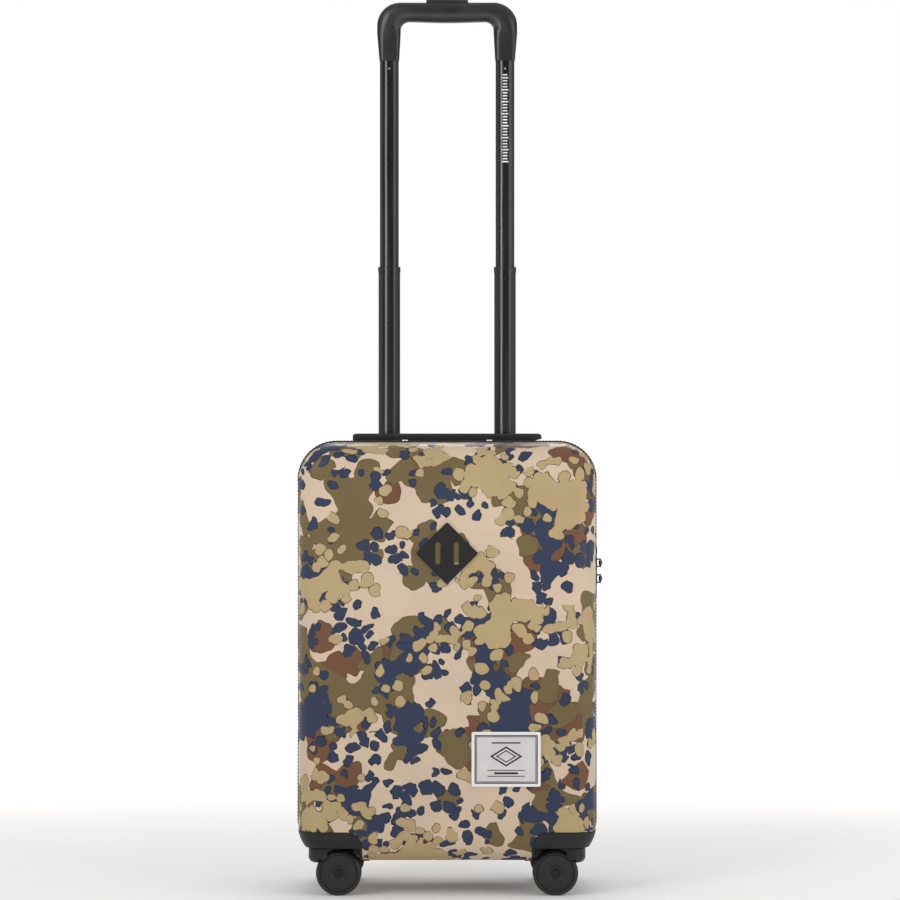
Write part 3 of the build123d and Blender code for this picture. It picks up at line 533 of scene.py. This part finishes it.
HALVES = (("front", "lid", -1), ("rear", "case", 1))  # name, body and side of the parting plane
HINGE_START = gusset_high.z - MIDDLE_Z
HINGE_END = rim_length() - (MIDDLE_Z - gusset_low.z)


def zip_coils(material):
    """Each half's nylon filament, wound as a flat helix, half a turn apart."""
    pitch, steps, spare = 2.4 * MM, 9, 1.5 * MM
    turns = int((HINGE_END - HINGE_START - 2 * spare) / pitch)
    distances = [HINGE_START + spare + pitch * i / steps for i in range(turns * steps)]
    places = rim_places(distances)
    for half, body, sign in HALVES:
        points = []
        for i, (point, outward) in enumerate(places):
            angle = 2 * math.pi * i / steps + (math.pi if sign > 0 else 0)
            depth = 1.15 + 0.9 * math.sin(angle)
            points.append(point + outward * 1.1 * MM * math.cos(angle) + Vector((0, sign * depth * MM, 0)))
        helix = wire(points, 0.38 * MM, 6)
        coil = new_piece(f"{half}_coil", *helix, material, body=body, slot="zip_nylon")
        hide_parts(f"{half}_zip_coil")


# depth from the parting plane and height over the rim, in mm, round the section of welt and tape
TAPE_PROFILE = (
    (2.25, -0.6), (2.25, 0.7), (3.0, 0.9), (4.2, 0.95), (4.7, 1.35), (5.5, 1.72), (7.0, 1.8), (8.6, 1.74),
    (9.6, 1.5), (10.3, 1.0), (10.5, 0.45), (10.3, 0.06), (6.1, 0.05), (5.9, -0.55), (4.0, -0.68),
)
SEAMS = ((9.0, 1.72), (3.4, 0.95))  # depth and height of the two rows of stitches, in mm
STITCH_PITCH = 4.3 * MM
STITCH_SHAPE = ((0.1, -0.05), (0.3, 0.22), (0.5, 0.22), (0.7, -0.05))  # share of the pitch, rise in mm


def zip_tapes(material, thread):
    """A welt over the shell's edge with the zip tape beside it, and its row of stitches."""
    distances = np.linspace(0, rim_length(), 361)[:-1]
    places = rim_places(distances)
    stitch_count = int(rim_length() / STITCH_PITCH)
    for half, body, sign in HALVES:
        vertices = []
        for point, outward in places:
            for depth, out in TAPE_PROFILE:
                vertices.append(point + outward * out * MM + Vector((0, sign * depth * MM, 0)))
        faces = closed_ring(len(places), len(TAPE_PROFILE))
        tape = new_piece(f"{half}_welt", vertices, faces, material, body=body, slot="zip_fabric")
        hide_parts(f"{half}_zip_tape")
        stitches = []
        for depth, out in SEAMS:
            for i in range(stitch_count):
                along = rim_places([(i + share) * STITCH_PITCH for share, _ in STITCH_SHAPE])
                points = [
                    point + outward * (out + rise) * MM + Vector((0, sign * depth * MM, 0))
                    for (point, outward), (_, rise) in zip(along, STITCH_SHAPE)
                ]
                stitches.append(wire(points, 0.24 * MM, 5))
        new_piece(f"{half}_welt_stitches", *merged(stitches), thread, body=body, slot="zip_fabric")


def gusset(material):
    """Cloth strip down the left side, bowed out a little with a slight ripple."""
    low, high = gusset_low, gusset_high
    columns, rows = 13, 96
    vertices = []
    for row in range(rows):
        z = low.z + (high.z - low.z) * row / (rows - 1)
        for column in range(columns):
            t = column / (columns - 1) * 2 - 1
            ripple = 0.25 * noise.noise(Vector((t * 1.5, 0, z * 45))) * (1 - t * t)
            out = 0.55 * (1 - t * t) + ripple
            vertices.append(Vector((-SIDE - out * MM, t * 2.3 * MM, z)))
    faces = grid_faces(rows, columns)
    strip = new_piece("hinge_gusset_cloth", vertices, faces, material, slot="zip_fabric")
    thickened(strip, 0.5 * MM)
    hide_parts("hinge_gusset")
    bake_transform(strip)


# ---------------------------------------------------------------- inside


def rounded_outline(count, half_x, half_z, corner, offset=0.0):
    """(point, outward) pairs round a round-cornered rectangle about the case's middle."""
    pairs = []
    for i in range(count):
        angle = 2 * math.pi * (i + offset) / count
        x, z = math.cos(angle), math.sin(angle)
        reach = 1 / max(abs(x) / half_x, abs(z) / half_z)
        x, z = x * reach, z * reach
        inner = Vector((
            max(corner - half_x, min(half_x - corner, x)), 0, max(corner - half_z, min(half_z - corner, z)),
        ))
        outward = (Vector((x, 0, z)) - inner).normalized()
        pairs.append((inner + outward * corner + Vector((0, 0, MIDDLE_Z)), outward))
    return pairs


CORE = (112 * MM, 178 * MM, 22 * MM)  # half width, half height and corner of a core inside either half
WALL_DEPTHS = (6.6, 8, 11, 15, 20, 25, 30, 36, 42, 50)  # mm from the parting plane
CORNER_TURNS = (12, 22, 32, 40, 48, 56, 64, 72, 80, 86)  # degrees from the wall towards the floor
FLOOR_DEPTH, LINING_COLUMNS, FLOOR_ROWS = 52, 168, 26


def lining(half, body, sign, material):
    """Cloth lining: rays from a core reach the inside of the CAD lining, then folds are added."""
    cad = NODES[f"{half}_lining"].data
    tree = BVHTree.FromPolygons([v.co for v in cad.vertices], [p.vertices for p in cad.polygons])
    count = LINING_COLUMNS
    outline = rounded_outline(count, *CORE, offset=0.5)
    rows = [(depth, 0.0, 1.0) for depth in WALL_DEPTHS]
    rows += [(FLOOR_DEPTH, turn, 1.0) for turn in CORNER_TURNS]
    rows += [(FLOOR_DEPTH, 90, share) for share in np.linspace(1.0, 0.02, FLOOR_ROWS)]
    centre = Vector((0, 0, MIDDLE_Z))
    inward = Vector((0, sign, 0))
    vertices = []
    for depth, turn, share in rows:
        tilt = math.radians(turn)
        for point, outward in outline:
            origin = centre + (point - centre) * share + inward * depth * MM
            way = outward * math.cos(tilt) + inward * math.sin(tilt)
            hit = tree.ray_cast(origin, way)[0] or origin + way * 50 * MM
            fold = noise.noise(hit * 14) * 1.6 + noise.noise(hit * 34) * 0.9
            edge = min(1.0, (depth - 6.0) / 12.0)
            vertices.append(hit - way * (1.3 + fold * edge) * MM)
    faces = grid_faces(len(rows), count, wrap=True)
    last = (len(rows) - 1) * count
    faces.append(tuple(range(last, last + count)))
    if sign > 0:
        faces = [tuple(reversed(face)) for face in faces]
    cloth = new_piece(f"{half}_lining_cloth", vertices, faces, material, body=body, slot="lining_fabric")
    ease = cloth.modifiers.new("ease", "SMOOTH")
    ease.iterations = 3
    ease.factor = 0.5
    thickened(cloth, 0.7 * MM)
    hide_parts(f"{half}_lining")


def panel_points(count, inset, y):
    """Points round the divider panel, inset from its edge, at one depth."""
    low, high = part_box("divider_panel")
    outline = rounded_outline(count, high.x - inset, (high.z - low.z) / 2 - inset, 36.8 * MM - inset)
    return [Vector((point.x, y, point.z)) for point, _ in outline]


def divider(material, binding, thread):
    """Cloth panel across the front half, held by a bound edge."""
    low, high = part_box("divider_panel")
    middle_y = (low.y + high.y) / 2
    count, rings = 180, 34
    centre = Vector((0, middle_y, MIDDLE_Z))
    edge = panel_points(count, 3 * MM, middle_y)
    vertices = []
    for ring in range(rings):
        share = 1 - ring / rings
        for point in edge:
            vertices.append(centre + (point - centre) * share)
    vertices.append(centre)
    faces = grid_faces(rings, count, wrap=True)
    last = (rings - 1) * count
    faces += [(last + k, last + (k + 1) % count, rings * count) for k in range(count)]
    panel = new_piece("divider_cloth", vertices, faces, material, body="lid", slot="divider_fabric")
    simulate_sag(panel, 2 * count)
    thickened(panel, 1.0 * MM)
    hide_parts("divider_panel")
    rim = panel_points(240, 2.2 * MM, middle_y)
    rim += rim[:2]
    new_piece("divider_binding", *wire(rim, 2.2 * MM, 10, 0.5), binding, body="lid", slot="webbing")
    stitches = []
    for side in (-1, 1):
        seam = panel_points(720, 6.5 * MM, middle_y + side * 0.75 * MM)
        for a, b in zip(seam[::2], seam[1::2]):
            stitches.append(wire([a, a.lerp(b, 0.5), b], 0.25 * MM, 5))
    new_piece("divider_stitches", *merged(stitches), thread, body="lid", slot="webbing")


def simulate_sag(piece, pinned, frames=20, cap=5 * MM):
    """Lets the panel's slightly over-long cloth settle between its held edges, as a short simulation."""
    rest = [v.co.copy() for v in piece.data.vertices]
    group = piece.vertex_groups.new(name="held")
    group.add(list(range(pinned)), 1.0, "REPLACE")
    cloth = piece.modifiers.new("cloth", "CLOTH")
    cloth.settings.vertex_group_mass = "held"
    cloth.settings.shrink_min = -0.035
    cloth.settings.bending_stiffness = 2.0
    cloth.settings.use_pressure = False
    cloth.settings.effector_weights.gravity = 0.15
    cloth.point_cache.frame_start = 1
    cloth.point_cache.frame_end = frames
    scene = bpy.context.scene
    for frame_number in range(1, frames + 1):
        scene.frame_set(frame_number)
    graph = bpy.context.evaluated_depsgraph_get()
    settled = piece.evaluated_get(graph).to_mesh()
    moved = [v.co.copy() for v in settled.vertices]
    piece.evaluated_get(graph).to_mesh_clear()
    piece.modifiers.clear()
    scene.frame_set(1)
    for vertex, start, end in zip(piece.data.vertices, rest, moved):
        step = end - start
        if step.length > cap:
            step *= cap / step.length
        step.y = min(step.y, 1.5 * MM)
        vertex.co = start + step
    piece.data.update()


def webbing_strip(path, width, thickness, along=6):
    """A flat strap through path points, its width standing up and down about each of them."""
    vertices = []
    for x, y, z in path:
        for dy in (-thickness / 2, thickness / 2):
            order = np.linspace(-1, 1, along + 1)
            order = order if dy < 0 else order[::-1]
            for t in order:
                thin = 1 - 0.35 * abs(t) ** 6
                vertices.append(Vector((x, y + dy * thin, z + t * width / 2)))
    return vertices, closed_tube(len(path), 2 * (along + 1))


def straps(material, plastic, thread):
    """Two straps across the rear half, each with a side-release buckle and sewn ends."""
    low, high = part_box("packing_straps")
    y = (low.y + high.y) / 2
    width = 25 * MM
    strips, buckles, patches = [], [], []
    for z in (low.z + width / 2, high.z - width / 2):
        path = []
        for i in range(81):
            t = i / 80 * 2 - 1
            sag = 0.9 * MM * math.cos(t * math.pi / 2)
            path.append((low.x + (high.x - low.x) * i / 80, y + sag, z - 0.8 * MM * (1 - t * t)))
        strips.append(webbing_strip(path, width, 1.5 * MM))
        buckles += buckle_parts(z - 0.8 * MM, y + 0.9 * MM)
        for side in (-1, 1):
            end = high.x if side > 0 else low.x
            patches += cross_stitch(end - side * 14 * MM, y - 0.85 * MM, z)
    strip = new_piece("strap_webbing", *merged(strips), material, body="case", slot="webbing")
    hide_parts("packing_straps")
    new_piece("strap_buckles", *merged(buckles), plastic, smooth=False, body="case", slot="black_plastic")
    new_piece("strap_stitches", *merged(patches), thread, body="case", slot="webbing")


# low x and z and high x and z of each block of a buckle, in mm from its middle
BUCKLE_BLOCKS = (
    (-17, -15, 17, 15), (-26, -14, -19, 14), (17.6, -14.6, 25, 14.6),
    (-20, -13, -16, -8), (-20, 8, -16, 13), (30, -14, 33, 14),
    (38, -14, 41, 14), (29, -14.6, 42, -12.2), (29, 12.2, 42, 14.6),
)


def buckle_parts(z, y):
    """Female body, male tongue with two prongs, and a ladder bar."""
    front, back = y - 3.6 * MM, y + 2.6 * MM
    parts = []
    for x0, z0, x1, z1 in BUCKLE_BLOCKS:
        low, high = (x0 * MM, front, z + z0 * MM), (x1 * MM, back, z + z1 * MM)
        parts.append(soft_block(low, high, 0.45))
    return parts


def cross_stitch(x, y, z):
    """A sewn square with a cross, in short stitches."""
    half, pitch = 9.0 * MM, 2.4 * MM
    signs = ((-1, -1), (1, -1), (1, 1), (-1, 1))
    square = [Vector((x + across * half, y, z + up * half)) for across, up in signs]
    parts = []
    for first, last in ((0, 1), (1, 2), (2, 3), (3, 0), (0, 2), (3, 1)):
        a, b = square[first], square[last]
        count = max(1, int((b - a).length / pitch))
        for i in range(count):
            start, end = a.lerp(b, (i + 0.12) / count), a.lerp(b, (i + 0.82) / count)
            middle = (start + end) / 2 + Vector((0, -0.25 * MM, 0))
            parts.append(wire([start, middle, end], 0.28 * MM, 5))
    return parts


# ---------------------------------------------------------------- small printed and moulded details


def flat_bar(x0, x1, z0, z1, y0, y1):
    """A thin printed bar between two depths."""
    return soft_block((x0, y0, z0), (x1, y1, z1), 0.2)


def frame_bars(low, high, inset, width, y0, y1):
    """Four bars that make a rectangular frame, inset from the given corners."""
    x0, x1, z0, z1 = low.x + inset, high.x - inset, low.z + inset, high.z - inset
    low_z, high_z = z0 + width, z1 - width
    level = [(x0, x1, z0, low_z), (x0, x1, high_z, z1)]
    upright = [(x0, x0 + width, low_z, high_z), (x1 - width, x1, low_z, high_z)]
    return [flat_bar(*span, y0, y1) for span in level + upright]


def diamond_ring(x, z, half_x, half_z, thick, y0, y1):
    """A flat diamond outline of the given stroke, between the depths y0 and y1."""
    inner = 1 - thick * math.hypot(half_x, half_z) / (half_x * half_z)
    tips = ((1, 0), (0, 1), (-1, 0), (0, -1))
    vertices = [
        Vector((x + across * half_x * size, y, z + up * half_z * size))
        for y, size in ((y0, 1.0), (y0, inner), (y1, inner), (y1, 1.0))
        for across, up in tips
    ]
    return vertices, closed_ring(4, len(tips))


# in mm: height over the plate's middle, half length and stroke; half height and stroke
LABEL_RULES = ((19.5, 17, 1.5), (-13, 22, 0.9), (-16.5, 14, 2.4), (-20, 22, 0.9))
LABEL_DIAMONDS = ((12.0, 1.8), (7.5, 1.2))


def label_print(ink, grey):
    """A thin double frame, plain rules and a double diamond, in place of any printing."""
    y1 = label_low.y + 0.42 * MM
    y0 = y1 - 0.2 * MM
    dark = frame_bars(label_low, label_high, 3.6 * MM, 0.9 * MM, y0, y1)
    band = frame_bars(label_low, label_high, 4.9 * MM, 1.5 * MM, y0, y1)
    x = (label_low.x + label_high.x) / 2
    z = (label_low.z + label_high.z) / 2
    for offset, half, thick in LABEL_RULES:
        low_z, high_z = z + (offset - thick / 2) * MM, z + (offset + thick / 2) * MM
        dark.append(flat_bar(x - half * MM, x + half * MM, low_z, high_z, y0, y1))
    for half_z, thick in LABEL_DIAMONDS:
        dark.append(diamond_ring(x, z + 3.5 * MM, 1.6 * half_z * MM, half_z * MM, thick * MM, y0, y1))
    new_piece("label_rules", *merged(dark), ink, smooth=False, body="lid", slot="label_metal")
    new_piece("label_band", *merged(band), grey, smooth=False, body="lid", slot="label_metal")


def tube_scale(white):
    """Plain white graduation marks up the right-hand inner tube."""
    marks = []
    y1, y0 = TUBE_FRONT + 0.02 * MM, TUBE_FRONT - 0.06 * MM
    bottom, count, pitch, thick = 886 * MM, 30, 3.7 * MM, 1.6 * MM
    for i in range(count):
        half = 4.0 * MM if i % 4 == 0 else 2.8 * MM
        z = bottom + i * pitch
        marks.append(flat_bar(TUBE_X - half, TUBE_X + half, z - thick / 2, z + thick / 2, y0, y1))
    shape = merged(marks)
    new_piece("tube_scale_marks", *shape, white, smooth=False, body="handle_upper", slot="black_tube")


def dome(centre, radius, height, rings=5, sides=20):
    """A shallow domed head standing on a plane, facing -Y."""
    vertices = []
    for ring in range(rings):
        angle = math.pi / 2 * ring / (rings - 1)
        r, h = radius * math.cos(angle * 0.98), height * math.sin(angle)
        for k in range(sides):
            turn = 2 * math.pi * k / sides
            vertices.append(centre + Vector((r * math.cos(turn), -h, r * math.sin(turn))))
    return vertices, closed_tube(rings, sides)


def grip_pins(material):
    """A pin head on each inner tube just under the grip, flat enough to pass into the mid tube."""
    heads = []
    for side in (-1, 1):
        place = Vector((side * TUBE_X, TUBE_FRONT, inner_high.z - 10 * MM))
        heads.append(dome(place, 1.2 * MM, 0.1 * MM))
    new_piece("grip_pins", *merged(heads), material, body="handle_upper", slot="bright_steel")


def figure(text):
    """A flat mesh of one figure, 3 mm high and centred."""
    curve = bpy.data.curves.new("figure", "FONT")
    curve.body = text
    curve.size = 3.0 * MM
    curve.align_x, curve.align_y = "CENTER", "CENTER"
    curve.extrude = 0.04 * MM
    drawn = bpy.data.objects.new("figure", curve)
    bpy.context.scene.collection.objects.link(drawn)
    graph = bpy.context.evaluated_depsgraph_get()
    mesh = bpy.data.meshes.new_from_object(drawn.evaluated_get(graph))
    bpy.data.objects.remove(drawn)
    return mesh


def dial_digits(white):
    """The figures 0 to 9 round each combination ring."""
    for index in (1, 2, 3):
        low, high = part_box(f"lock_dial_{index}")
        centre, radius = (low + high) / 2, (high.x - low.x) / 2
        parts = []
        for digit in range(10):
            mesh = figure(str(digit))
            angle = math.radians(36 * digit)
            outward = Vector((math.cos(angle), math.sin(angle), 0))
            sideways = Vector((-math.sin(angle), math.cos(angle), 0))
            points = [
                centre + outward * (radius + v.co.z) + sideways * v.co.x + Vector((0, 0, v.co.y))
                for v in mesh.vertices
            ]
            parts.append((points, [tuple(p.vertices) for p in mesh.polygons]))
        name, body = f"dial_{index}_figures", f"dial_{index}"
        new_piece(name, *merged(parts), white, smooth=False, body=body, slot="lock_dial")


def bend_points(start, corner, end, radius, count):
    """Points along start-corner-end with the corner rounded off."""
    into, out = (corner - start).normalized(), (end - corner).normalized()
    half = math.acos(max(-1.0, min(1.0, into.dot(out)))) / 2
    cut = radius * math.tan(half)
    first, last = corner - into * cut, corner + out * cut
    side = (out - into * into.dot(out)).normalized()
    centre = first + side * radius
    points = []
    for i in range(count + 1):
        angle = 2 * half * i / count
        points.append(centre - side * radius * math.cos(angle) + into * radius * math.sin(angle))
    return points, first, last


GRIP_FOOT, GRIP_LEG, GRIP_BAR = 24.4 * MM, 29.2 * MM, 24.6 * MM  # widths of foot, leg and bar
GRIP_KNEE = 34 * MM  # height over the foot where the leg turns upright
OUTER_BEND, INNER_BEND, UNDER_SAG = 29 * MM, 11 * MM, 1.2 * MM


def grip_line(foot, shoulder, top, radius, under_sag):
    """One half of the grip's outline in x and z, from the foot of the leg to the middle of the bar."""
    start, corner, end = Vector((*foot, 0)), Vector((shoulder, top, 0)), Vector((0, top, 0))
    knee = Vector((shoulder, foot[1] + GRIP_KNEE, 0))
    arc, first, last = bend_points(knee, corner, end, radius, 18)
    leg = [start.lerp(knee, i / 10) for i in range(10)] + [knee.lerp(first, i / 4) for i in range(4)]
    bar = [last.lerp(end, (i + 1) / 14) for i in range(14)]
    line = []
    for point in leg + arc + bar:
        share = min(1.0, (shoulder - point.x) / shoulder)
        sag = under_sag * math.sin(share * math.pi / 2) ** 2
        line.append(Vector((point.x, point.y - sag, 0)))
    return line


def eased(share):
    """A share held between 0 and 1, with soft ends."""
    share = max(0.0, min(1.0, share))
    return share * share * (3 - 2 * share)


def soft_grip(material):
    """The grip as one rounded form: an outer and an inner line, with round sections between."""
    low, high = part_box("trolley_grip")
    foot_z, half_foot = inner_high.z, GRIP_FOOT / 2
    outer = grip_line((TUBE_X + half_foot, foot_z), high.x, high.z, OUTER_BEND, 0.0)
    inner_side, under = high.x - GRIP_LEG, high.z - GRIP_BAR
    inner = grip_line((TUBE_X - half_foot, foot_z), inner_side, under, INNER_BEND, UNDER_SAG)
    right = list(zip(outer, inner))
    left = [(Vector((-a.x, a.y, 0)), Vector((-b.x, b.y, 0))) for a, b in right[-2::-1]]
    depth = (high.y - low.y) / 2
    middle_y = (high.y + low.y) / 2
    sides = 32
    vertices = []
    sections = right + left
    for index, (a, b) in enumerate(sections):
        from_foot = min(index, len(sections) - 1 - index)
        power = 2.4 + 2.6 * eased(1 - from_foot / 18)
        thin = 0.86 + 0.14 * eased(from_foot / 24)
        for k in range(sides):
            angle = 2 * math.pi * k / sides
            c, n = math.cos(angle), math.sin(angle)
            across = math.copysign(abs(c) ** (2 / power), c)
            deep = math.copysign(abs(n) ** (2 / power), n)
            point = (a + b) / 2 + (a - b) / 2 * across
            vertices.append(Vector((point.x, middle_y + depth * thin * deep, point.y)))
    faces = closed_tube(len(sections), sides)
    body, slot = "handle_upper", "grip_plastic"
    grip = new_piece("grip_moulding", vertices, faces, material, body=body, slot=slot)
    cut_pocket(grip, material)
    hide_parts("trolley_grip")
    return grip


def cut_pocket(grip, material):
    """Cuts the pocket in the grip's top that the push button sinks into."""
    low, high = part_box("trolley_button")
    middle, half = (low + high) / 2, (high - low) / 2
    room, corner, stroke, count = 0.3 * MM, 3.2 * MM, 3.4 * MM, 48
    vertices = []
    for z in (low.z - stroke, high.z + stroke):
        for k in range(count):
            angle = 2 * math.pi * (k + 0.5) / count
            x = math.copysign(half.x + room - corner, math.cos(angle)) + corner * math.cos(angle)
            y = math.copysign(half.y + room - corner, math.sin(angle)) + corner * math.sin(angle)
            vertices.append(Vector((middle.x + x, middle.y + y, z)))
    cutter = new_piece("pocket_cutter", vertices, closed_tube(2, count), material, smooth=False)
    cut = grip.modifiers.new("pocket", "BOOLEAN")
    cut.operation, cut.solver, cut.object = "DIFFERENCE", "EXACT", cutter
    apply_modifiers(grip)
    grip.data.set_sharp_from_angle(angle=math.radians(35))
    bpy.data.objects.remove(cutter)


# ---------------------------------------------------------------- studio

# name, place, target, width, height and power; the strip for the trolley is made apart
SOFTBOXES = (
    ("key", (-2.6, -3.6, 2.8), (0, 0, 0.35), 1.8, 1.8, 56),
    ("fill", (3.0, -3.4, 1.6), (0, 0, 0.4), 1.6, 2.2, 26),
    ("strip_right", (2.6, -1.2, 1.0), (0, 0.08, 0.7), 0.3, 2.6, 10),
    ("back", (0.4, 3.6, 3.0), (0, 0, 0.5), 2.4, 1.4, 35),
)


def softbox(name, place, target, width, height, power):
    """A rectangular area lamp turned to its target."""
    lamp = bpy.data.lights.new(name, "AREA")
    lamp.shape = "RECTANGLE"
    lamp.size, lamp.size_y = width, height
    lamp.energy = power
    light = bpy.data.objects.new(name, lamp)
    light.location = place
    light.rotation_euler = (Vector(target) - light.location).to_track_quat("-Z", "Y").to_euler()
    bpy.context.scene.collection.objects.link(light)
    return light


def strip_lamp(receivers):
    """A tall strip that lights only the trolley, for the long bright line down its tubes."""
    light = softbox("strip_left", (-1.75, -3.5, 1.1), (0, 0.08, 0.8), 0.7, 2.6, 43)
    lit = bpy.data.collections.new("lit_by_strip")
    for receiver in receivers:
        lit.objects.link(receiver)
    light.light_linking.receiver_collection = lit


def surround():
    """White for the camera; for everything else, brighter overhead than at the horizon."""
    world = bpy.data.worlds.new("studio")
    bpy.context.scene.world = world
    world.use_nodes = True
    nodes, links = world.node_tree.nodes, world.node_tree.links
    nodes.clear()
    kinds = ["Background"] * 2 + ["TexCoord", "SeparateXYZ", "MapRange"]
    kinds += ["LightPath", "MixShader", "OutputWorld"]
    seen, lit, place, split, height, path, blend, out = [nodes.new(f"ShaderNode{kind}") for kind in kinds]
    for background in (seen, lit):
        background.inputs[0].default_value = (1, 1, 1, 1)
    for socket, value in enumerate((0.0, 1.0, 0.14, 0.88), start=1):
        height.inputs[socket].default_value = value
    links.new(place.outputs["Generated"], split.inputs[0])
    links.new(split.outputs[2], height.inputs[0])
    links.new(height.outputs[0], lit.inputs[1])
    links.new(path.outputs["Is Camera Ray"], blend.inputs[0])
    links.new(lit.outputs[0], blend.inputs[1])
    links.new(seen.outputs[0], blend.inputs[2])
    links.new(blend.outputs[0], out.inputs[0])


def floor():
    """A wide pale disc with a painted glow that grows away from the middle, so that it fades into the white
    surround.
    """
    s = Shader("studio_floor", Roughness=0.7, Specular_IOR_Level=0.2)
    cloud = s.noise(0.6, 3.0).outputs[0]
    s.set("Base Color", s.mix(cloud, srgb("f1f0ee"), srgb("f6f5f3")))
    away = s.node("ShaderNodeVectorMath", {0: s.place}, operation="LENGTH").outputs["Value"]
    # painted glow: the floor gives off white light of its own, more of it further from the case
    s.set("Emission Color", (1.0, 1.0, 1.0, 1.0))
    s.set("Emission Strength", s.remap(away, 0.5, 3.0, 0.08, 0.9))
    radius, sides = 60.0, 64
    angles = np.linspace(0, 2 * math.pi, sides + 1)[:-1]
    ring = [Vector((radius * math.cos(a), radius * math.sin(a), 0)) for a in angles]
    new_piece("floor", ring, [tuple(range(sides))], s.material, smooth=False)


def camera():
    """A long lens level with the middle of the case and its raised handle."""
    data = bpy.data.cameras.new("camera")
    data.sensor_width, data.lens = 36.0, 151.97
    data.clip_start, data.clip_end = 0.1, 200
    made = bpy.data.objects.new("camera", data)
    made.location = (0.0035, -4.6125, 0.53)
    made.rotation_euler = (math.pi / 2, 0, 0)
    bpy.context.scene.collection.objects.link(made)
    bpy.context.scene.camera = made
    bpy.context.scene.view_settings.view_transform = "Standard"


def studio():
    """Pale floor, white surround for the camera, and soft light that comes mostly from above."""
    surround()
    for lamp in SOFTBOXES:
        softbox(*lamp)
    floor()
    camera()


# ---------------------------------------------------------------- the case


# material name, colour, roughness, grain, its depth, and the CAD nodes of that moulded plastic
PLASTICS = (
    ("housing_plastic", "1c1c1d", 0.46, 0.0009, 0.00006, corners("wheel_housing")),
    ("fork_plastic", "201f20", 0.4, 0.0006, 0.00004, corners("caster_fork")),
    ("axle_cap", "181819", 0.45, 0.0007, 0.00005, corners("axle")),
    ("button_plastic", "1f1f21", 0.42, 0.0006, 0.00005, ["trolley_button"]),
    ("carry_handle_rubber", "202022", 0.55, 0.0005, 0.00006, ["carry_handle"]),
    ("tab_rubber", "161516", 0.62, 0.0006, 0.00007, ["lash_tab"]),
    ("lock_plastic", "1f1f20", 0.38, 0.0006, 0.00004, ["lock_housing", "lock_button"]),
    ("lock_dial", "1f1f20", 0.42, 0.0004, 0.00004, [f"lock_dial_{index}" for index in (1, 2, 3)]),
)


def paint_everything():
    """Gives every CAD node that stays in view its material."""
    black = moulded("black_plastic", "1f1f20")
    paint_nodes(black, "trolley_bezel", "trolley_base", "carry_handle_mounts")
    for name, code, rough, grain, depth, nodes in PLASTICS:
        paint_nodes(moulded(name, code, rough, grain, depth), *nodes)
    paint_nodes(printed_shell(), "front_shell", "rear_shell")
    paint_nodes(wheel_rubber(), *corners("wheel_outer", "wheel_inner"))
    tubes = [f"trolley_{name}" for name in ("inner_tubes", "mid_tubes", "outer_tubes", "collars")]
    paint_nodes(drawn_tube(), *tubes)
    steel = metal("bright_steel", "b8b8ba")
    paint_nodes(steel, *corners("kingpin"), "lock_key_cylinder")
    paint_nodes(metal("latch_steel", "454547", 0.25), "trolley_release_rods")
    zips = [f"zip_{part}_{end}" for part in ("slider", "pull") for end in ("upper", "lower")]
    paint_nodes(metal("zip_metal", "5b5a5c", 0.32), *zips)
    paint_nodes(metal("black_rivet", "3a3a3c", 0.4), "housing_rivets_front", "housing_rivets_rear")
    paint_nodes(label_metal(), "label_plate")
    return black, steel


def build():
    """Paints the CAD, makes the pieces that stand for or add to it, and sets up the studio."""
    black, steel = paint_everything()
    nylon = moulded("zip_nylon", "1e1e20", 0.38, 0.0004, 0.00002, 0.0001)
    tape = woven("zip_fabric", "2b2b2d", 0.0006)
    thread = woven("dark_thread", "38383b", 0.0003, 0.7, 0.00005)
    zip_coils(nylon)
    zip_tapes(tape, thread)
    gusset(tape)
    cloth = woven("lining_fabric", "55585c", 0.0007, 0.75, 0.0001)
    for half, body, sign in HALVES:
        lining(half, body, sign, cloth)
    panel_cloth = woven("divider_fabric", "4a4d52", 0.0011, 0.7, 0.0002)
    divider(panel_cloth, woven("binding_tape", "26272a", 0.0009), thread)
    straps(woven("webbing", "232426", 0.0011, 0.65, 0.00025), black, thread)
    fine = (0.5, 0.0005, 0.00002, 0.0001)
    label_print(moulded("label_ink", "26262a", *fine), moulded("label_grey", "7c7a7f", *fine))
    white = moulded("mark_white", "e4e4e2", *fine, worn=0.0)
    tube_scale(white)
    dial_digits(white)
    grip_pins(steel)
    grip = soft_grip(moulded("grip_plastic", "1c1c1e", 0.3, 0.0008, 0.00003, coat=0.15))
    strip_lamp([grip] + [NODES[f"trolley_{name}"] for name in ("inner_tubes", "mid_tubes", "collars")])
    studio()


build()
